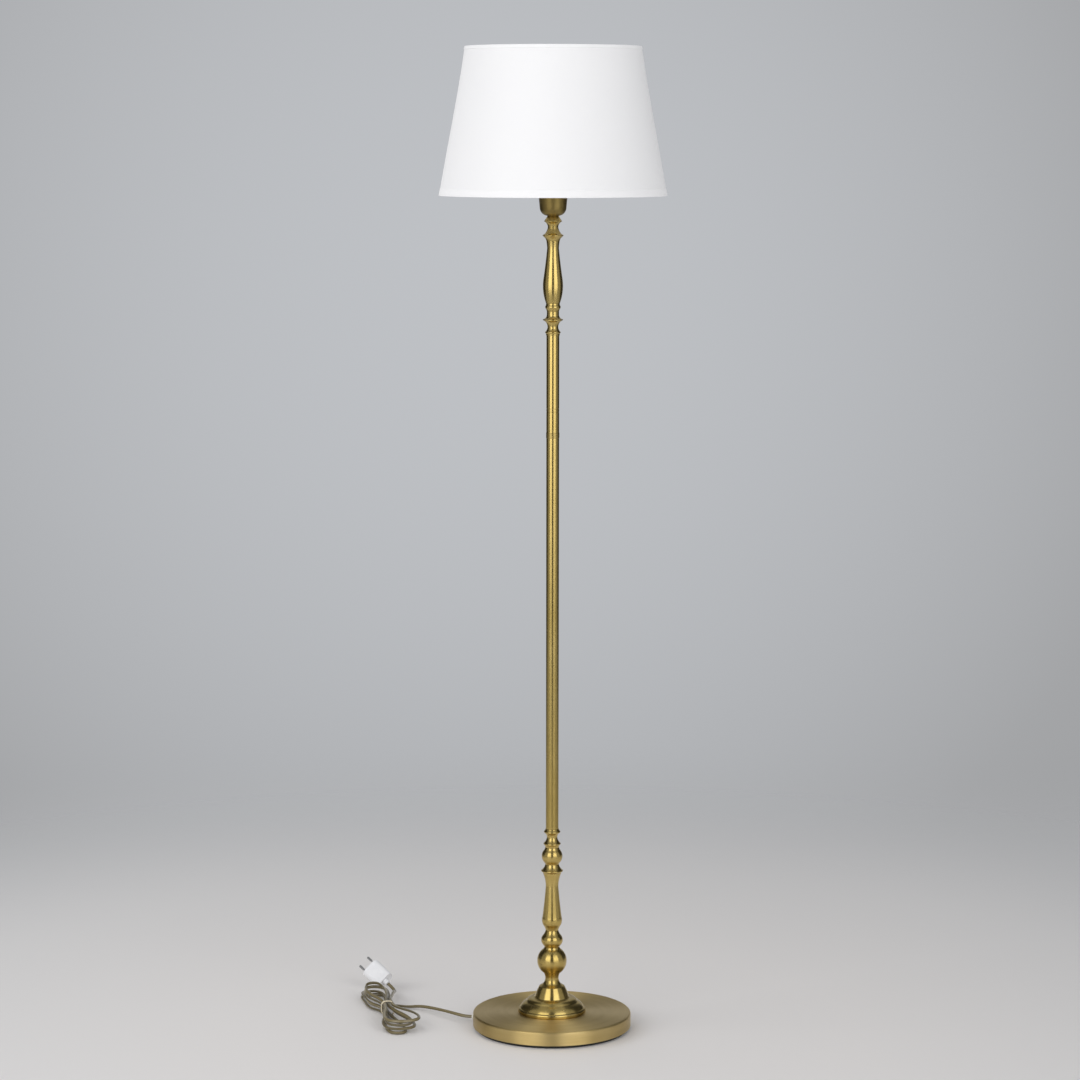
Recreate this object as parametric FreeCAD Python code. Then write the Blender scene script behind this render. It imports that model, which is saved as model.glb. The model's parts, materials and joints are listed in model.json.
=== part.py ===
"""Candlestick floor lamp: weighted round base, turned brass column, tapered shade and a tied mains cord.

Millimetres. Z points up from the floor, the column stands on the Z axis and the lamp is seen from -Y.
"""
import FreeCAD, Part
import math
import os

# ---------------------------------------------------------------- base
base_radius = 125.0
base_height = 26.5
base_edge_radius = 3.0
base_wall = 1.2
shell_lip_height = 5.0          # the brass ends this far above the floor
shell_hole_radius = 5.4
pad_inset = 6.0                 # the pad is this much smaller than the base
pad_thickness = 2.0
weight_edge_inset = 3.5
pocket_radius = 24.0
pocket_roof = 6.0
channel_width = 9.0
channel_depth = 14.0
washer_radius = 12.0
washer_thickness = 1.6
nut_across_flats = 14.0
nut_height = 4.0
tube_below_nut = 1.0

# ---------------------------------------------------------------- column, bottom to top
tube_radius = 5.0               # threaded tube, M10 x 1
tube_bore_radius = 3.7
bead_bore_gap = 0.3
foot_height = 56.0
foot_lip_radius = 53.5
foot_lip_height = 7.5
foot_step_radius = 40.5
foot_step_height = 18.0
foot_dome_radius = 27.5
foot_dome_foot = 24.5
foot_dome_height = 41.5
foot_shoulder_radius = 20.0
foot_neck_radius = 10.8
foot_wall = 4.0                 # the bell is hollow underneath
foot_top_depth = 16.0
ball_height = 49.0
ball_radius = 23.4
ball_centre_height = 26.5
ball_neck_radius = 11.0
bead_height = 27.0
bead_radius = 17.1
bead_widest_height = 12.0
bead_foot_radius = 11.8
bead_neck_radius = 10.0
lower_baluster_height = 106.5
lower_baluster_radius = 15.8
lower_baluster_widest = 14.5
lower_baluster_waist_radius = 10.0
lower_baluster_waist = 71.0
lower_baluster_top_radius = 14.2
lower_baluster_ring_radius = 17.0
lower_baluster_ring = 96.0
lower_baluster_neck_radius = 10.7
small_ball_height = 27.0
small_ball_radius = 16.4
small_ball_widest = 13.3
small_ball_neck_radius = 10.8
lower_collar_height = 30.0
lower_collar_ring_radii = (13.3, 12.7)
lower_collar_ring_heights = (6.0, 25.0)
lower_collar_waist_radius = 8.2
lower_collar_waist = 16.5

pole_radius = 10.0
pole_wall = 1.5
pole_length = 777.0
pole_groove_depth = 0.35
pole_groove_width = 1.1
pole_groove_pitch = 5.0
lower_groove_height = 114.5
upper_groove_height = 658.5
coupling_height = 618.0
coupling_width = 8.3
coupling_radius = 10.35
spigot_length = 24.0
bush_length = 25.0
spigot_gap = 0.05

disc_collar_height = 37.0
disc_collar_ring_radius = 11.9
disc_collar_ring = 4.8
disc_collar_waist_radius = 8.3
disc_collar_waist = 13.5
disc_radius = 15.7
disc_thickness = 1.6
disc_height = 24.4
disc_collar_neck_radius = 9.5
ring_collar_height = 12.5
ring_collar_radius = 12.0
ring_collar_ring = 6.8
ring_collar_neck_radius = 10.7
upper_baluster_height = 96.0
upper_baluster_radius = 15.3
upper_baluster_widest = 20.5
upper_baluster_waist_radius = 9.1
upper_baluster_waist = 85.0
upper_baluster_top_radius = 10.3
flange_collar_height = 21.5
flange_radius = 16.2
flange_thickness = 1.4
flange_height = 8.5
flange_collar_neck_radius = 8.1
cone_collar_height = 17.0
cone_rim_radius = 13.9
cone_rim = 8.2
cone_top_radius = 8.6

# ---------------------------------------------------------------- lampholder
cup_height = 34.0
cup_radius = 20.6
cup_rim_radius = 22.6
cup_dome_height = 13.0
cup_wall = 1.1
holder_radius = 19.2
holder_wall = 0.9
holder_height = 76.0
holder_ledge_radius = 22.2
holder_ledge_height = 54.0
holder_ledge_thickness = 1.6
core_gap = 0.2
core_bore_radius = 14.7
core_bore_depth = 25.0
core_wire_radius = 3.6
socket_radius = 14.4
socket_wall = 0.7
contact_radius = 3.5
contact_height = 2.4
upper_tube_reach = 8.0          # how far the threaded tube stands inside the lampholder
switch_height = 37.0            # above the cup's foot
spindle_radius = 2.5
spindle_gap = 0.05
spindle_inner = 9.0
spindle_outer = 31.0
knob_radius = 7.0
knob_length = 8.0
knob_wing_width = 3.0
knob_wing_height = 3.0
thread_gap = 0.4                # play of the screwed pieces, as smooth cylinders
ring_outer_radius = 24.6
ring_height = 8.0
ring_notch_count = 24
ring_notch_radius = 0.9
seat_gap = 0.3

# ---------------------------------------------------------------- bulb
bulb_cap_radius = 13.2
bulb_cap_height = 26.0
bulb_tip_radius = 4.8
bulb_tip_height = 2.0
bulb_cap_cone = 4.0
bulb_radius = 30.0
bulb_length = 105.0
bulb_neck_radius = 15.0
glass_wall = 1.0

# ---------------------------------------------------------------- shade
shade_bottom_radius = 175.5
shade_top_radius = 135.5
shade_height = 227.0
shade_bottom_height = 31.0      # above the lampholder cup's foot
shade_wall = 1.0
wire_radius = 1.8
spoke_radius = 1.6
spoke_count = 3
spoke_turn = 90.0
hub_width = 5.0
hub_thickness = 1.5

# ---------------------------------------------------------------- mains cord
cord_diameter = 5.2
cord_exit_turn = 170.0          # direction of the cord's hole, degrees from +X
cord_exit_height = 11.0
bush_flange_radius = 4.6
bush_flange = 4.0
bush_gap = 0.15
inner_bend = 11.0
hank_centre = (-265.0, 66.0)
hank_turn = -76.5
hank_front_reach = 115.0
hank_back_reach = 125.0
hank_lobe_length = 21.0
back_left_lobe = 62.0           # the lowest loop is widest far from its back end
back_left_lobe_fan = -12.0
hank_shrink = 1.6               # each higher layer ends this much sooner
hank_step = 6.2
hank_layer = 5.75
hank_layers = 4
front_right_width = 22.0
front_right_fan = 4.0           # each higher layer is this much wider on that side
front_left_width = 22.0
front_left_fan = -0.8
back_right_width = 18.5
back_right_fan = 0.5
back_left_width = 24.0
back_left_fan = -1.2
hank_back_lift = 4.0           # the top loop's back end stands this much higher
hank_start = (-42.0, 26.0)      # along and across the hank, where the lead joins it
hank_start_heading = (-0.577, -0.817)
hank_second = (-61.0, 16.0)
hank_end = (-48.0, 17.5)
hank_end_heading = (-0.95, 0.312)
tie_width = 2.2
tie_thickness = 0.8
tie_gap = 0.25
tie_floor_gap = 0.15

# the free stretch from the base to the hank, and the one from the hank to the plug
lead_first_run = 10.0
lead_last_run = 14.0
lead_route = [(-149.5, 31.2, 11.9), (-165.0, 49.0, 11.4), (-181.0, 66.5, 10.3), (-197.5, 84.0, 8.8),
              (-212.5, 98.0, 6.9)]
tail_first_run = 13.0
tail_route = [(-80.0, 26.4, 17.5), (-94.0, 29.5, 12.8), (-109.4, 34.8, 7.0)]   # along the hank, across, up
tail_last_run = 14.0

# ---------------------------------------------------------------- plug
plug_centre = (-287.2, 223.0, 26.0)
plug_forward = (-0.635, 0.671, 0.382)
plug_across = (0.673, 0.242, 0.694)
plug_length = 40.0
plug_width = 33.0
plug_thickness = 17.0
plug_tail_width = 31.0
plug_tail_thickness = 15.0
plug_collar_radius = 4.6
plug_collar_length = 8.0
pin_radius = 2.0
pin_length = 19.0
pin_spacing = 19.0
pin_root = 9.0
pin_neck_radius = 1.6           # a pin is this thin inside the body and on the first stretch outside it
pin_neck_length = 10.0
pin_tip_radius = 0.9

# ---------------------------------------------------------------- worked out from the sizes above
pad_radius = base_radius - pad_inset
weight_edge_radius = base_radius - weight_edge_inset
foot_z = base_height
ball_z = foot_z + foot_height
bead_z = ball_z + ball_height
lower_baluster_z = bead_z + bead_height
small_ball_z = lower_baluster_z + lower_baluster_height
lower_collar_z = small_ball_z + small_ball_height
pole_z = lower_collar_z + lower_collar_height
disc_collar_z = pole_z + pole_length
ring_collar_z = disc_collar_z + disc_collar_height
upper_baluster_z = ring_collar_z + ring_collar_height
flange_collar_z = upper_baluster_z + upper_baluster_height
cone_collar_z = flange_collar_z + flange_collar_height
cup_z = cone_collar_z + cone_collar_height
shade_z = cup_z + shade_bottom_height
holder_z = cup_z + cup_wall
holder_top = holder_z + holder_height
ledge_z = cup_z + holder_ledge_height
hub_z = ledge_z + holder_ledge_thickness + seat_gap
ring_z = hub_z + hub_thickness + seat_gap
core_floor_z = holder_top - holder_wall - core_bore_depth
contact_top = core_floor_z + contact_height
bulb_z = contact_top + seat_gap
weight_top = base_height - base_wall
nut_top = weight_top - pocket_roof - washer_thickness
tube_bottom = nut_top - nut_height - tube_below_nut
cord_radius = cord_diameter / 2
bead_bore_radius = tube_radius + bead_bore_gap

X_AXIS = FreeCAD.Vector(1, 0, 0)
Z_AXIS = FreeCAD.Vector(0, 0, 1)
ORIGIN = FreeCAD.Vector(0, 0, 0)


def save(name, shape):
    """Writes one piece to its own file."""
    shape.exportStep("parts/" + name + ".step")


def at(r, z):
    """A point of an outline: distance from the axis, and height."""
    return FreeCAD.Vector(r, 0, z)


def outline(*points):
    """A closed outline in the XZ plane. A third value of "arc" makes that point the middle of an arc."""
    edges = []
    ring = list(points) + [points[0]]
    start = ring[0]
    middle = None
    for point in ring[1:]:
        if len(point) == 3:
            middle = point
            continue
        if middle is None:
            edges.append(Part.LineSegment(at(*start), at(*point)).toShape())
        else:
            edges.append(Part.Arc(at(*start), at(*middle[:2]), at(*point)).toShape())
        start = point
        middle = None
    return Part.Wire(edges)


def turned(z, *points):
    """A piece turned on the lathe: the outline revolved about the column, its foot at height z."""
    solid = Part.Face(outline(*points)).revolve(ORIGIN, Z_AXIS, 360)
    solid.translate(FreeCAD.Vector(0, 0, z))
    return solid


def drum(radius, z, height):
    """A plain cylinder on the column's axis."""
    return Part.makeCylinder(radius, height, FreeCAD.Vector(0, 0, z))


def sleeve(outer, inner, z, height):
    """A tube on the column's axis."""
    return drum(outer, z, height).cut(drum(inner, z - 1, height + 2))


def hollow(r0, z0, r1, z1, depth):
    """The middle point of a cove between two points, drawn in by the depth given."""
    length = math.hypot(r1 - r0, z1 - z0)
    inward = -abs(z1 - z0) / length
    along = math.copysign(1, z1 - z0) * (r1 - r0) / length
    return ((r0 + r1) / 2 + inward * depth, (z0 + z1) / 2 + along * depth, "arc")


# ---------------------------------------------------------------- base
def exit_direction():
    turn = math.radians(cord_exit_turn)
    return FreeCAD.Vector(math.cos(turn), math.sin(turn), 0)


def exit_drill(radius, inner, outer):
    """A round bar along the cord's hole, from one distance to another."""
    start = exit_direction() * inner + FreeCAD.Vector(0, 0, cord_exit_height)
    return Part.makeCylinder(radius, outer - inner, start, exit_direction())


def bush_sleeve_radius():
    return cord_radius + bush_gap + 1.0


def make_pad():
    pad = sleeve(pad_radius, pocket_radius, 0, pad_thickness)
    return pad


def make_weight():
    """Cast disc with a lip below the brass, a pocket for the nut and a channel for the cord."""
    inner = base_radius - base_wall - seat_gap
    edge = base_edge_radius
    body = turned(0, (bead_bore_radius, pad_thickness), (weight_edge_radius, pad_thickness),
                  (weight_edge_radius, shell_lip_height), (inner, shell_lip_height),
                  (inner, weight_top - edge), (inner - edge, weight_top), (bead_bore_radius, weight_top))
    body = body.cut(drum(pocket_radius, pad_thickness - 1, weight_top - pocket_roof - pad_thickness + 1))
    slot = Part.makeBox(base_radius, channel_width, channel_depth,
                        FreeCAD.Vector(0, -channel_width / 2, pad_thickness - 1))
    slot.rotate(ORIGIN, Z_AXIS, cord_exit_turn)
    return body.cut(slot)


def make_shell():
    """Spun brass cover of the base, with a rounded top edge."""
    edge = base_edge_radius
    inner = base_radius - base_wall
    cos45 = math.sqrt(0.5)
    body = turned(0, (shell_hole_radius, base_height), (base_radius - edge, base_height),
                  (base_radius - edge + edge * cos45, base_height - edge + edge * cos45, "arc"),
                  (base_radius, base_height - edge), (base_radius, shell_lip_height),
                  (inner, shell_lip_height), (inner, weight_top - edge + base_wall),
                  (inner - edge + base_wall, weight_top), (shell_hole_radius, weight_top))
    return body.cut(exit_drill(bush_sleeve_radius() + 0.1, base_radius - 10, base_radius + 10))


def make_bush():
    """Flanged bush in the shell's hole: the cord comes out through it."""
    inner = base_radius - base_wall - 1.0
    flange_seat = math.sqrt(base_radius ** 2 - bush_flange_radius ** 2)
    body = exit_drill(bush_sleeve_radius(), inner, base_radius + bush_flange)
    flange = exit_drill(bush_flange_radius, flange_seat, base_radius + bush_flange)
    flange = flange.cut(drum(base_radius + 0.02, 0, base_height))
    body = body.fuse(flange)
    return body.cut(exit_drill(cord_radius + bush_gap, inner - 1, base_radius + bush_flange + 1))


def make_nut():
    corner = nut_across_flats / math.sqrt(3)
    points = []
    for k in range(7):
        turn = math.radians(60 * k)
        points.append(FreeCAD.Vector(corner * math.cos(turn), corner * math.sin(turn), nut_top - nut_height))
    body = Part.Face(Part.makePolygon(points)).extrude(FreeCAD.Vector(0, 0, nut_height))
    return body.cut(drum(tube_radius, nut_top - nut_height - 1, nut_height + 2))


# ---------------------------------------------------------------- turned pieces of the column
def make_foot():
    """Stepped bell: a lip, a round step and a dome, drawn in to a cove at the neck."""
    lip = foot_lip_radius
    tier = (foot_step_radius + 1.5, foot_step_height - 1.0)
    step = (foot_dome_radius, foot_dome_foot)
    shoulder = (foot_shoulder_radius, foot_dome_height)
    neck = (foot_neck_radius, foot_height)
    return turned(foot_z, (bead_bore_radius, foot_height - foot_top_depth),
                  (foot_dome_radius - foot_wall, foot_dome_foot - 4.0),
                  (lip - foot_wall, 2.0), (lip - foot_wall, 0), (lip - 1.0, 0), (lip, 1.0),
                  (lip, foot_lip_height - 3.0),
                  (lip - 0.8, foot_lip_height - 1.2, "arc"), (lip - 2.6, foot_lip_height),
                  (lip - 5.4, foot_step_height - 6.0, "arc"), tier,
                  (foot_step_radius, foot_step_height),
                  (foot_step_radius - 3.4, foot_step_height + 3.6, "arc"),
                  (foot_dome_radius + 2.0, foot_dome_foot - 1.2), step,
                  (foot_dome_radius - 3.6, foot_dome_foot + 9.0, "arc"), shoulder,
                  (foot_shoulder_radius - 5.4, foot_dome_height + 3.2),
                  hollow(foot_shoulder_radius - 5.4, foot_dome_height + 3.2, neck[0], neck[1], 1.3),
                  neck, (bead_bore_radius, foot_height))


def make_ball():
    """Ball with a short flare at each end."""
    reach = math.sqrt(ball_radius ** 2 - (ball_neck_radius + 2.2) ** 2)
    low = (ball_neck_radius + 2.2, ball_centre_height - reach)
    high = (ball_neck_radius + 2.2, ball_centre_height + reach)
    foot = (foot_neck_radius, 0)
    top = (ball_neck_radius + 0.8, ball_height)
    middle = (ball_radius, ball_centre_height, "arc")
    return turned(ball_z, (bead_bore_radius, 0), foot, hollow(foot[0], foot[1], low[0], low[1], 0.4), low,
                  middle, high, top, (bead_bore_radius, ball_height))


def make_bead():
    """Flattened bead that narrows in a cove to the baluster above it."""
    widest = (bead_radius, bead_widest_height, "arc")
    low = (bead_foot_radius + 1.6, 2.6)
    high = (bead_radius - 2.0, bead_widest_height + 5.6)
    neck = (bead_neck_radius, bead_height)
    return turned(bead_z, (bead_bore_radius, 0), (bead_foot_radius, 0), low, widest, high,
                  hollow(high[0], high[1], neck[0], neck[1], 0.7), neck, (bead_bore_radius, bead_height))


def make_lower_baluster():
    """Long tapered baluster that flares to a ring at its top."""
    foot = (bead_neck_radius, 0)
    low = (lower_baluster_radius - 1.4, lower_baluster_widest - 5.5)
    high = (lower_baluster_radius - 0.7, lower_baluster_widest + 7.5)
    waist = (lower_baluster_waist_radius, lower_baluster_waist)
    mid_z = (high[1] + waist[1]) / 2
    mid = ((high[0] + waist[0]) / 2 - 0.35, mid_z, "arc")
    lip = (lower_baluster_top_radius, lower_baluster_ring - 4.4)
    ring = lower_baluster_ring_radius
    neck = (lower_baluster_neck_radius, lower_baluster_height)
    return turned(lower_baluster_z, (bead_bore_radius, 0), foot,
                  hollow(foot[0], foot[1], low[0], low[1], 0.5), low,
                  (lower_baluster_radius, lower_baluster_widest, "arc"), high, mid, waist,
                  hollow(waist[0], waist[1], lip[0], lip[1], 1.0), lip, (lip[0], lip[1] + 1.4),
                  (ring, lower_baluster_ring - 0.8), (ring + 0.15, lower_baluster_ring, "arc"),
                  (ring, lower_baluster_ring + 0.8),
                  hollow(ring, lower_baluster_ring + 0.8, neck[0], neck[1], 1.2), neck,
                  (bead_bore_radius, lower_baluster_height))


def make_small_ball():
    low = (small_ball_neck_radius + 1.2, 2.4)
    high = (small_ball_neck_radius + 1.4, small_ball_height - 3.6)
    return turned(small_ball_z, (bead_bore_radius, 0), (lower_baluster_neck_radius, 0), low,
                  (small_ball_radius, small_ball_widest, "arc"), high,
                  (small_ball_neck_radius, small_ball_height), (bead_bore_radius, small_ball_height))


def make_lower_collar():
    """Two thin rings with a deep cove between them, under the pole."""
    low_ring, high_ring = lower_collar_ring_radii
    low_z, high_z = lower_collar_ring_heights
    waist = (lower_collar_waist_radius, lower_collar_waist)
    return turned(lower_collar_z, (bead_bore_radius, 0), (small_ball_neck_radius, 0),
                  hollow(small_ball_neck_radius, 0, low_ring, low_z - 0.9, 0.5), (low_ring, low_z - 0.9),
                  (low_ring + 0.25, low_z, "arc"), (low_ring, low_z + 0.9),
                  hollow(low_ring, low_z + 0.9, waist[0], waist[1], 1.1), waist,
                  hollow(waist[0], waist[1], high_ring, high_z - 0.9, 1.1), (high_ring, high_z - 0.9),
                  (high_ring + 0.25, high_z, "arc"), (high_ring, high_z + 0.9),
                  (pole_radius + 0.6, lower_collar_height - 1.2),
                  (pole_radius + 0.5, lower_collar_height), (bead_bore_radius, lower_collar_height))


def make_disc_collar():
    """Small ring, deep cove, thin disc and a straight neck, above the pole."""
    ring = disc_collar_ring_radius
    waist = (disc_collar_waist_radius, disc_collar_waist)
    half = disc_thickness / 2
    rim = disc_radius
    under = (rim - 4.0, disc_height - half - 2.2)
    return turned(disc_collar_z, (bead_bore_radius, 0), (pole_radius + 0.5, 0),
                  (pole_radius + 0.7, disc_collar_ring - 2.0), (ring, disc_collar_ring - 0.8),
                  (ring + 0.2, disc_collar_ring, "arc"), (ring, disc_collar_ring + 0.8),
                  hollow(ring, disc_collar_ring + 0.8, waist[0], waist[1], 0.9), waist,
                  hollow(waist[0], waist[1], under[0], under[1], 0.7), under, (rim - 0.3, disc_height - half),
                  (rim, disc_height, "arc"), (rim - 0.3, disc_height + half),
                  hollow(rim - 0.3, disc_height + half, disc_collar_neck_radius, disc_height + 8.0, 1.8),
                  (disc_collar_neck_radius, disc_height + 8.0),
                  (disc_collar_neck_radius, disc_collar_height), (bead_bore_radius, disc_collar_height))


def make_ring_collar():
    ring = ring_collar_radius
    neck = ring_collar_neck_radius
    low = (ring - 0.3, ring_collar_ring - 1.6)
    high = (ring - 0.3, ring_collar_ring + 1.6)
    return turned(ring_collar_z, (bead_bore_radius, 0), (disc_collar_neck_radius, 0),
                  hollow(disc_collar_neck_radius, 0, low[0], low[1], 0.4), low,
                  (ring, ring_collar_ring, "arc"), high,
                  hollow(high[0], high[1], neck, ring_collar_height, 0.4), (neck, ring_collar_height),
                  (bead_bore_radius, ring_collar_height))


def make_upper_baluster():
    """Vase: full near its foot and drawn in to a slim waist, with a small flare at the top."""
    foot = (ring_collar_neck_radius, 0)
    high = (upper_baluster_radius - 0.9, upper_baluster_widest + 20.0)
    waist = (upper_baluster_waist_radius, upper_baluster_waist)
    mid_z = (high[1] + waist[1]) / 2
    mid = ((high[0] + waist[0]) / 2 - 0.3, mid_z, "arc")
    top = (upper_baluster_top_radius, upper_baluster_height)
    return turned(upper_baluster_z, (bead_bore_radius, 0), foot,
                  (upper_baluster_radius, upper_baluster_widest, "arc"), high, mid, waist,
                  hollow(waist[0], waist[1], top[0], top[1], 0.15), top,
                  (bead_bore_radius, upper_baluster_height))


def make_flange_collar():
    """Thin flange under a cove."""
    rim = flange_radius
    half = flange_thickness / 2
    under = (upper_baluster_top_radius + 2.0, 4.4)
    over = (rim - 3.2, flange_height + half + 1.8)
    neck = (flange_collar_neck_radius, flange_collar_height)
    return turned(flange_collar_z, (bead_bore_radius, 0), (upper_baluster_top_radius, 0),
                  hollow(upper_baluster_top_radius, 0, under[0], under[1], 0.25), under,
                  (rim - 0.3, flange_height - half), (rim, flange_height, "arc"),
                  (rim - 0.3, flange_height + half), over,
                  hollow(over[0], over[1], neck[0], neck[1], 1.0), neck,
                  (bead_bore_radius, flange_collar_height))


def make_cone_collar():
    """Cone that widens downwards to a sharp rim, over a cove."""
    rim = cone_rim_radius
    return turned(cone_collar_z, (bead_bore_radius, 0), (flange_collar_neck_radius, 0),
                  hollow(flange_collar_neck_radius, 0, rim - 0.4, cone_rim, 1.3), (rim - 0.4, cone_rim),
                  (rim, cone_rim + 0.6, "arc"), (rim - 0.4, cone_rim + 1.2),
                  (cone_top_radius, cone_collar_height), (bead_bore_radius, cone_collar_height))


# ---------------------------------------------------------------- pole
def groove(z):
    """A pair of fine rings cut round the pole."""
    depth = pole_groove_depth
    cutters = []
    for k in range(2):
        low = z + k * pole_groove_pitch - pole_groove_width / 2
        cutters.append(sleeve(pole_radius + 1, pole_radius - depth, low, pole_groove_width))
    return Part.makeCompound(cutters)


def make_pole(z, length, groove_z):
    tube = sleeve(pole_radius, pole_radius - pole_wall, z, length)
    return tube.cut(groove(groove_z))


def spigot_radius():
    return pole_radius - pole_wall - spigot_gap


def make_pole_bush(z):
    return sleeve(spigot_radius(), tube_radius, z, bush_length)


def make_coupler():
    """Band between the two lengths of the pole, with a spigot into each."""
    z = pole_z + coupling_height
    spigot = drum(spigot_radius(), z - spigot_length, coupling_width + 2 * spigot_length)
    band = drum(coupling_radius, z, coupling_width)
    bore = drum(tube_radius, z - spigot_length - 1, 2 * spigot_length + coupling_width + 2)
    return spigot.fuse(band).cut(bore)


def make_tube(z0, z1):
    return sleeve(tube_radius, tube_bore_radius, z0, z1 - z0)


# ---------------------------------------------------------------- lampholder and switch
def cup_outline(offset):
    """The cup's outer or inner side: floor, dome and a slight flare to the rim."""
    side = cup_radius - offset
    mouth = cup_rim_radius - offset
    bend = cup_dome_height - offset
    low = side - bend
    cos45 = math.sqrt(0.5)
    middle = (low + bend * cos45, cup_dome_height - bend * cos45, "arc")
    return [(low, offset), middle, (side, cup_dome_height), (mouth, cup_height)]


def make_cup():
    outer = cup_outline(0)
    inner = cup_outline(cup_wall)
    inner.reverse()
    hole = bead_bore_radius
    return turned(cup_z, (hole, 0), *outer, *inner, (hole, cup_wall))


def make_holder_shell():
    """Thin sleeve of the lampholder with the ledge that the shade sits on."""
    r = holder_radius
    inner = r - holder_wall
    ledge = ledge_z - holder_z
    high = ledge + holder_ledge_thickness
    foot = cup_dome_height
    body = turned(holder_z, (inner, foot), (r, foot), (r, ledge), (holder_ledge_radius, ledge),
                  (holder_ledge_radius, high), (r, high), (r, holder_height),
                  (core_bore_radius, holder_height), (core_bore_radius, holder_height - holder_wall),
                  (inner, holder_height - holder_wall))
    return body.cut(switch_drill(spindle_radius + spindle_gap, 0, holder_radius + 5))


def switch_drill(radius, inner, outer):
    return Part.makeCylinder(radius, outer - inner, FreeCAD.Vector(inner, 0, cup_z + switch_height), X_AXIS)


def make_core():
    """Insulating core: a well for the bulb's cap, a wire hole and a hole for the switch spindle."""
    r = holder_radius - holder_wall - core_gap
    low = holder_z + cup_dome_height
    top = holder_top - holder_wall
    body = drum(r, low, top - low)
    body = body.cut(drum(core_bore_radius, core_floor_z, core_bore_depth + 1))
    body = body.cut(drum(core_wire_radius, low - 1, switch_height - cup_dome_height - spindle_radius - 4))
    return body.cut(switch_drill(spindle_radius + seat_gap, spindle_inner - seat_gap, holder_radius))


def make_socket():
    return sleeve(socket_radius, socket_radius - socket_wall, core_floor_z + 0.5, core_bore_depth - 1.5)


def make_knob():
    """Round switch knob with a raised wing across its face."""
    start = spindle_outer - knob_length
    body = switch_drill(knob_radius, start, spindle_outer)
    wing = Part.makeBox(knob_wing_height + 1, knob_wing_width, 1.9 * knob_radius,
                        FreeCAD.Vector(spindle_outer - 1, -knob_wing_width / 2,
                                       cup_z + switch_height - 0.95 * knob_radius))
    body = body.fuse(wing)
    return body.cut(switch_drill(spindle_radius, start - 1, spindle_outer - 2))


def make_spindle():
    return switch_drill(spindle_radius, spindle_inner, spindle_outer - 2)


def make_shade_ring():
    """Notched ring that screws down on the shade's hub."""
    body = sleeve(ring_outer_radius, holder_radius + thread_gap, ring_z, ring_height)
    cutters = []
    for k in range(ring_notch_count):
        turn = 2 * math.pi * k / ring_notch_count
        r = ring_outer_radius
        place = FreeCAD.Vector(r * math.cos(turn), r * math.sin(turn), ring_z - 1)
        cutters.append(Part.makeCylinder(ring_notch_radius, ring_height + 2, place))
    return body.cut(Part.makeCompound(cutters))


# ---------------------------------------------------------------- bulb
def make_bulb_tip():
    return drum(bulb_tip_radius, bulb_z, bulb_tip_height)


def make_bulb_cap():
    low = bulb_tip_height
    return turned(bulb_z, (0, low), (bulb_tip_radius, low), (bulb_cap_radius, low + bulb_cap_cone),
                  (bulb_cap_radius, bulb_cap_height), (0, bulb_cap_height))


def bulb_outline(offset):
    """The glass from its neck to the crown, as two arcs."""
    neck = (bulb_neck_radius - offset, bulb_cap_height)
    centre = bulb_length - bulb_radius
    round_radius = bulb_radius - offset
    low_turn = math.radians(-32)
    join = (round_radius * math.cos(low_turn), centre + round_radius * math.sin(low_turn))
    cove = hollow(neck[0], neck[1], join[0], join[1], -1.6)
    mid_turn = (low_turn + math.pi / 2) / 2
    crown = (round_radius * math.cos(mid_turn), centre + round_radius * math.sin(mid_turn), "arc")
    return [neck, cove, join, crown, (0, centre + round_radius)]


def make_bulb_glass():
    outer = bulb_outline(0)
    inner = bulb_outline(glass_wall)
    inner.reverse()
    return turned(bulb_z, *outer, *inner)


# ---------------------------------------------------------------- shade
def shade_slope():
    return (shade_bottom_radius - shade_top_radius) / shade_height


def cover_radius(z):
    """Outer radius of the cover at a height above its lower edge."""
    return shade_bottom_radius - shade_slope() * z


def wire_track(z):
    """Radius of a wire ring that lies against the inside of the cover."""
    lean = math.sqrt(1 + shade_slope() ** 2)
    return cover_radius(z) - (shade_wall + wire_radius + 0.05) * lean


def make_cover():
    bottom = shade_bottom_radius
    top = shade_top_radius
    return turned(shade_z, (bottom - shade_wall, 0), (bottom, 0), (top, shade_height),
                  (top - shade_wall, shade_height))


def wire_ring(z):
    return Part.makeTorus(wire_track(z), wire_radius, FreeCAD.Vector(0, 0, shade_z + z))


def make_top_ring():
    return wire_ring(shade_height - wire_radius - 0.5)


def make_carrier():
    """Lower wire ring, three spokes and the hub that sits on the lampholder."""
    ring_low = wire_radius + 0.5
    hub_outer = holder_radius + thread_gap + hub_width
    body = wire_ring(ring_low)
    hub = sleeve(hub_outer, holder_radius + thread_gap, hub_z, hub_thickness)
    low_z = shade_z + ring_low
    inner = hub_outer - 1.5
    outer = wire_track(ring_low)
    start = FreeCAD.Vector(inner, 0, hub_z + hub_thickness / 2)
    end = FreeCAD.Vector(outer, 0, low_z)
    spokes = []
    for k in range(spoke_count):
        spoke = Part.makeCylinder(spoke_radius, (end - start).Length, start, end - start)
        spoke.rotate(ORIGIN, Z_AXIS, spoke_turn + 360.0 * k / spoke_count)
        spokes.append(spoke)
    hub = hub.fuse(spokes)
    clear = drum(holder_radius + thread_gap, hub_z - 10, 20)
    hub = hub.cut(clear)
    trim = drum(hub_outer + 1, ring_z - seat_gap, 10)
    floor = drum(hub_outer + 0.01, ledge_z - 10, hub_z - ledge_z + 10)
    return body.fuse(hub.cut(trim).cut(floor))


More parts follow.
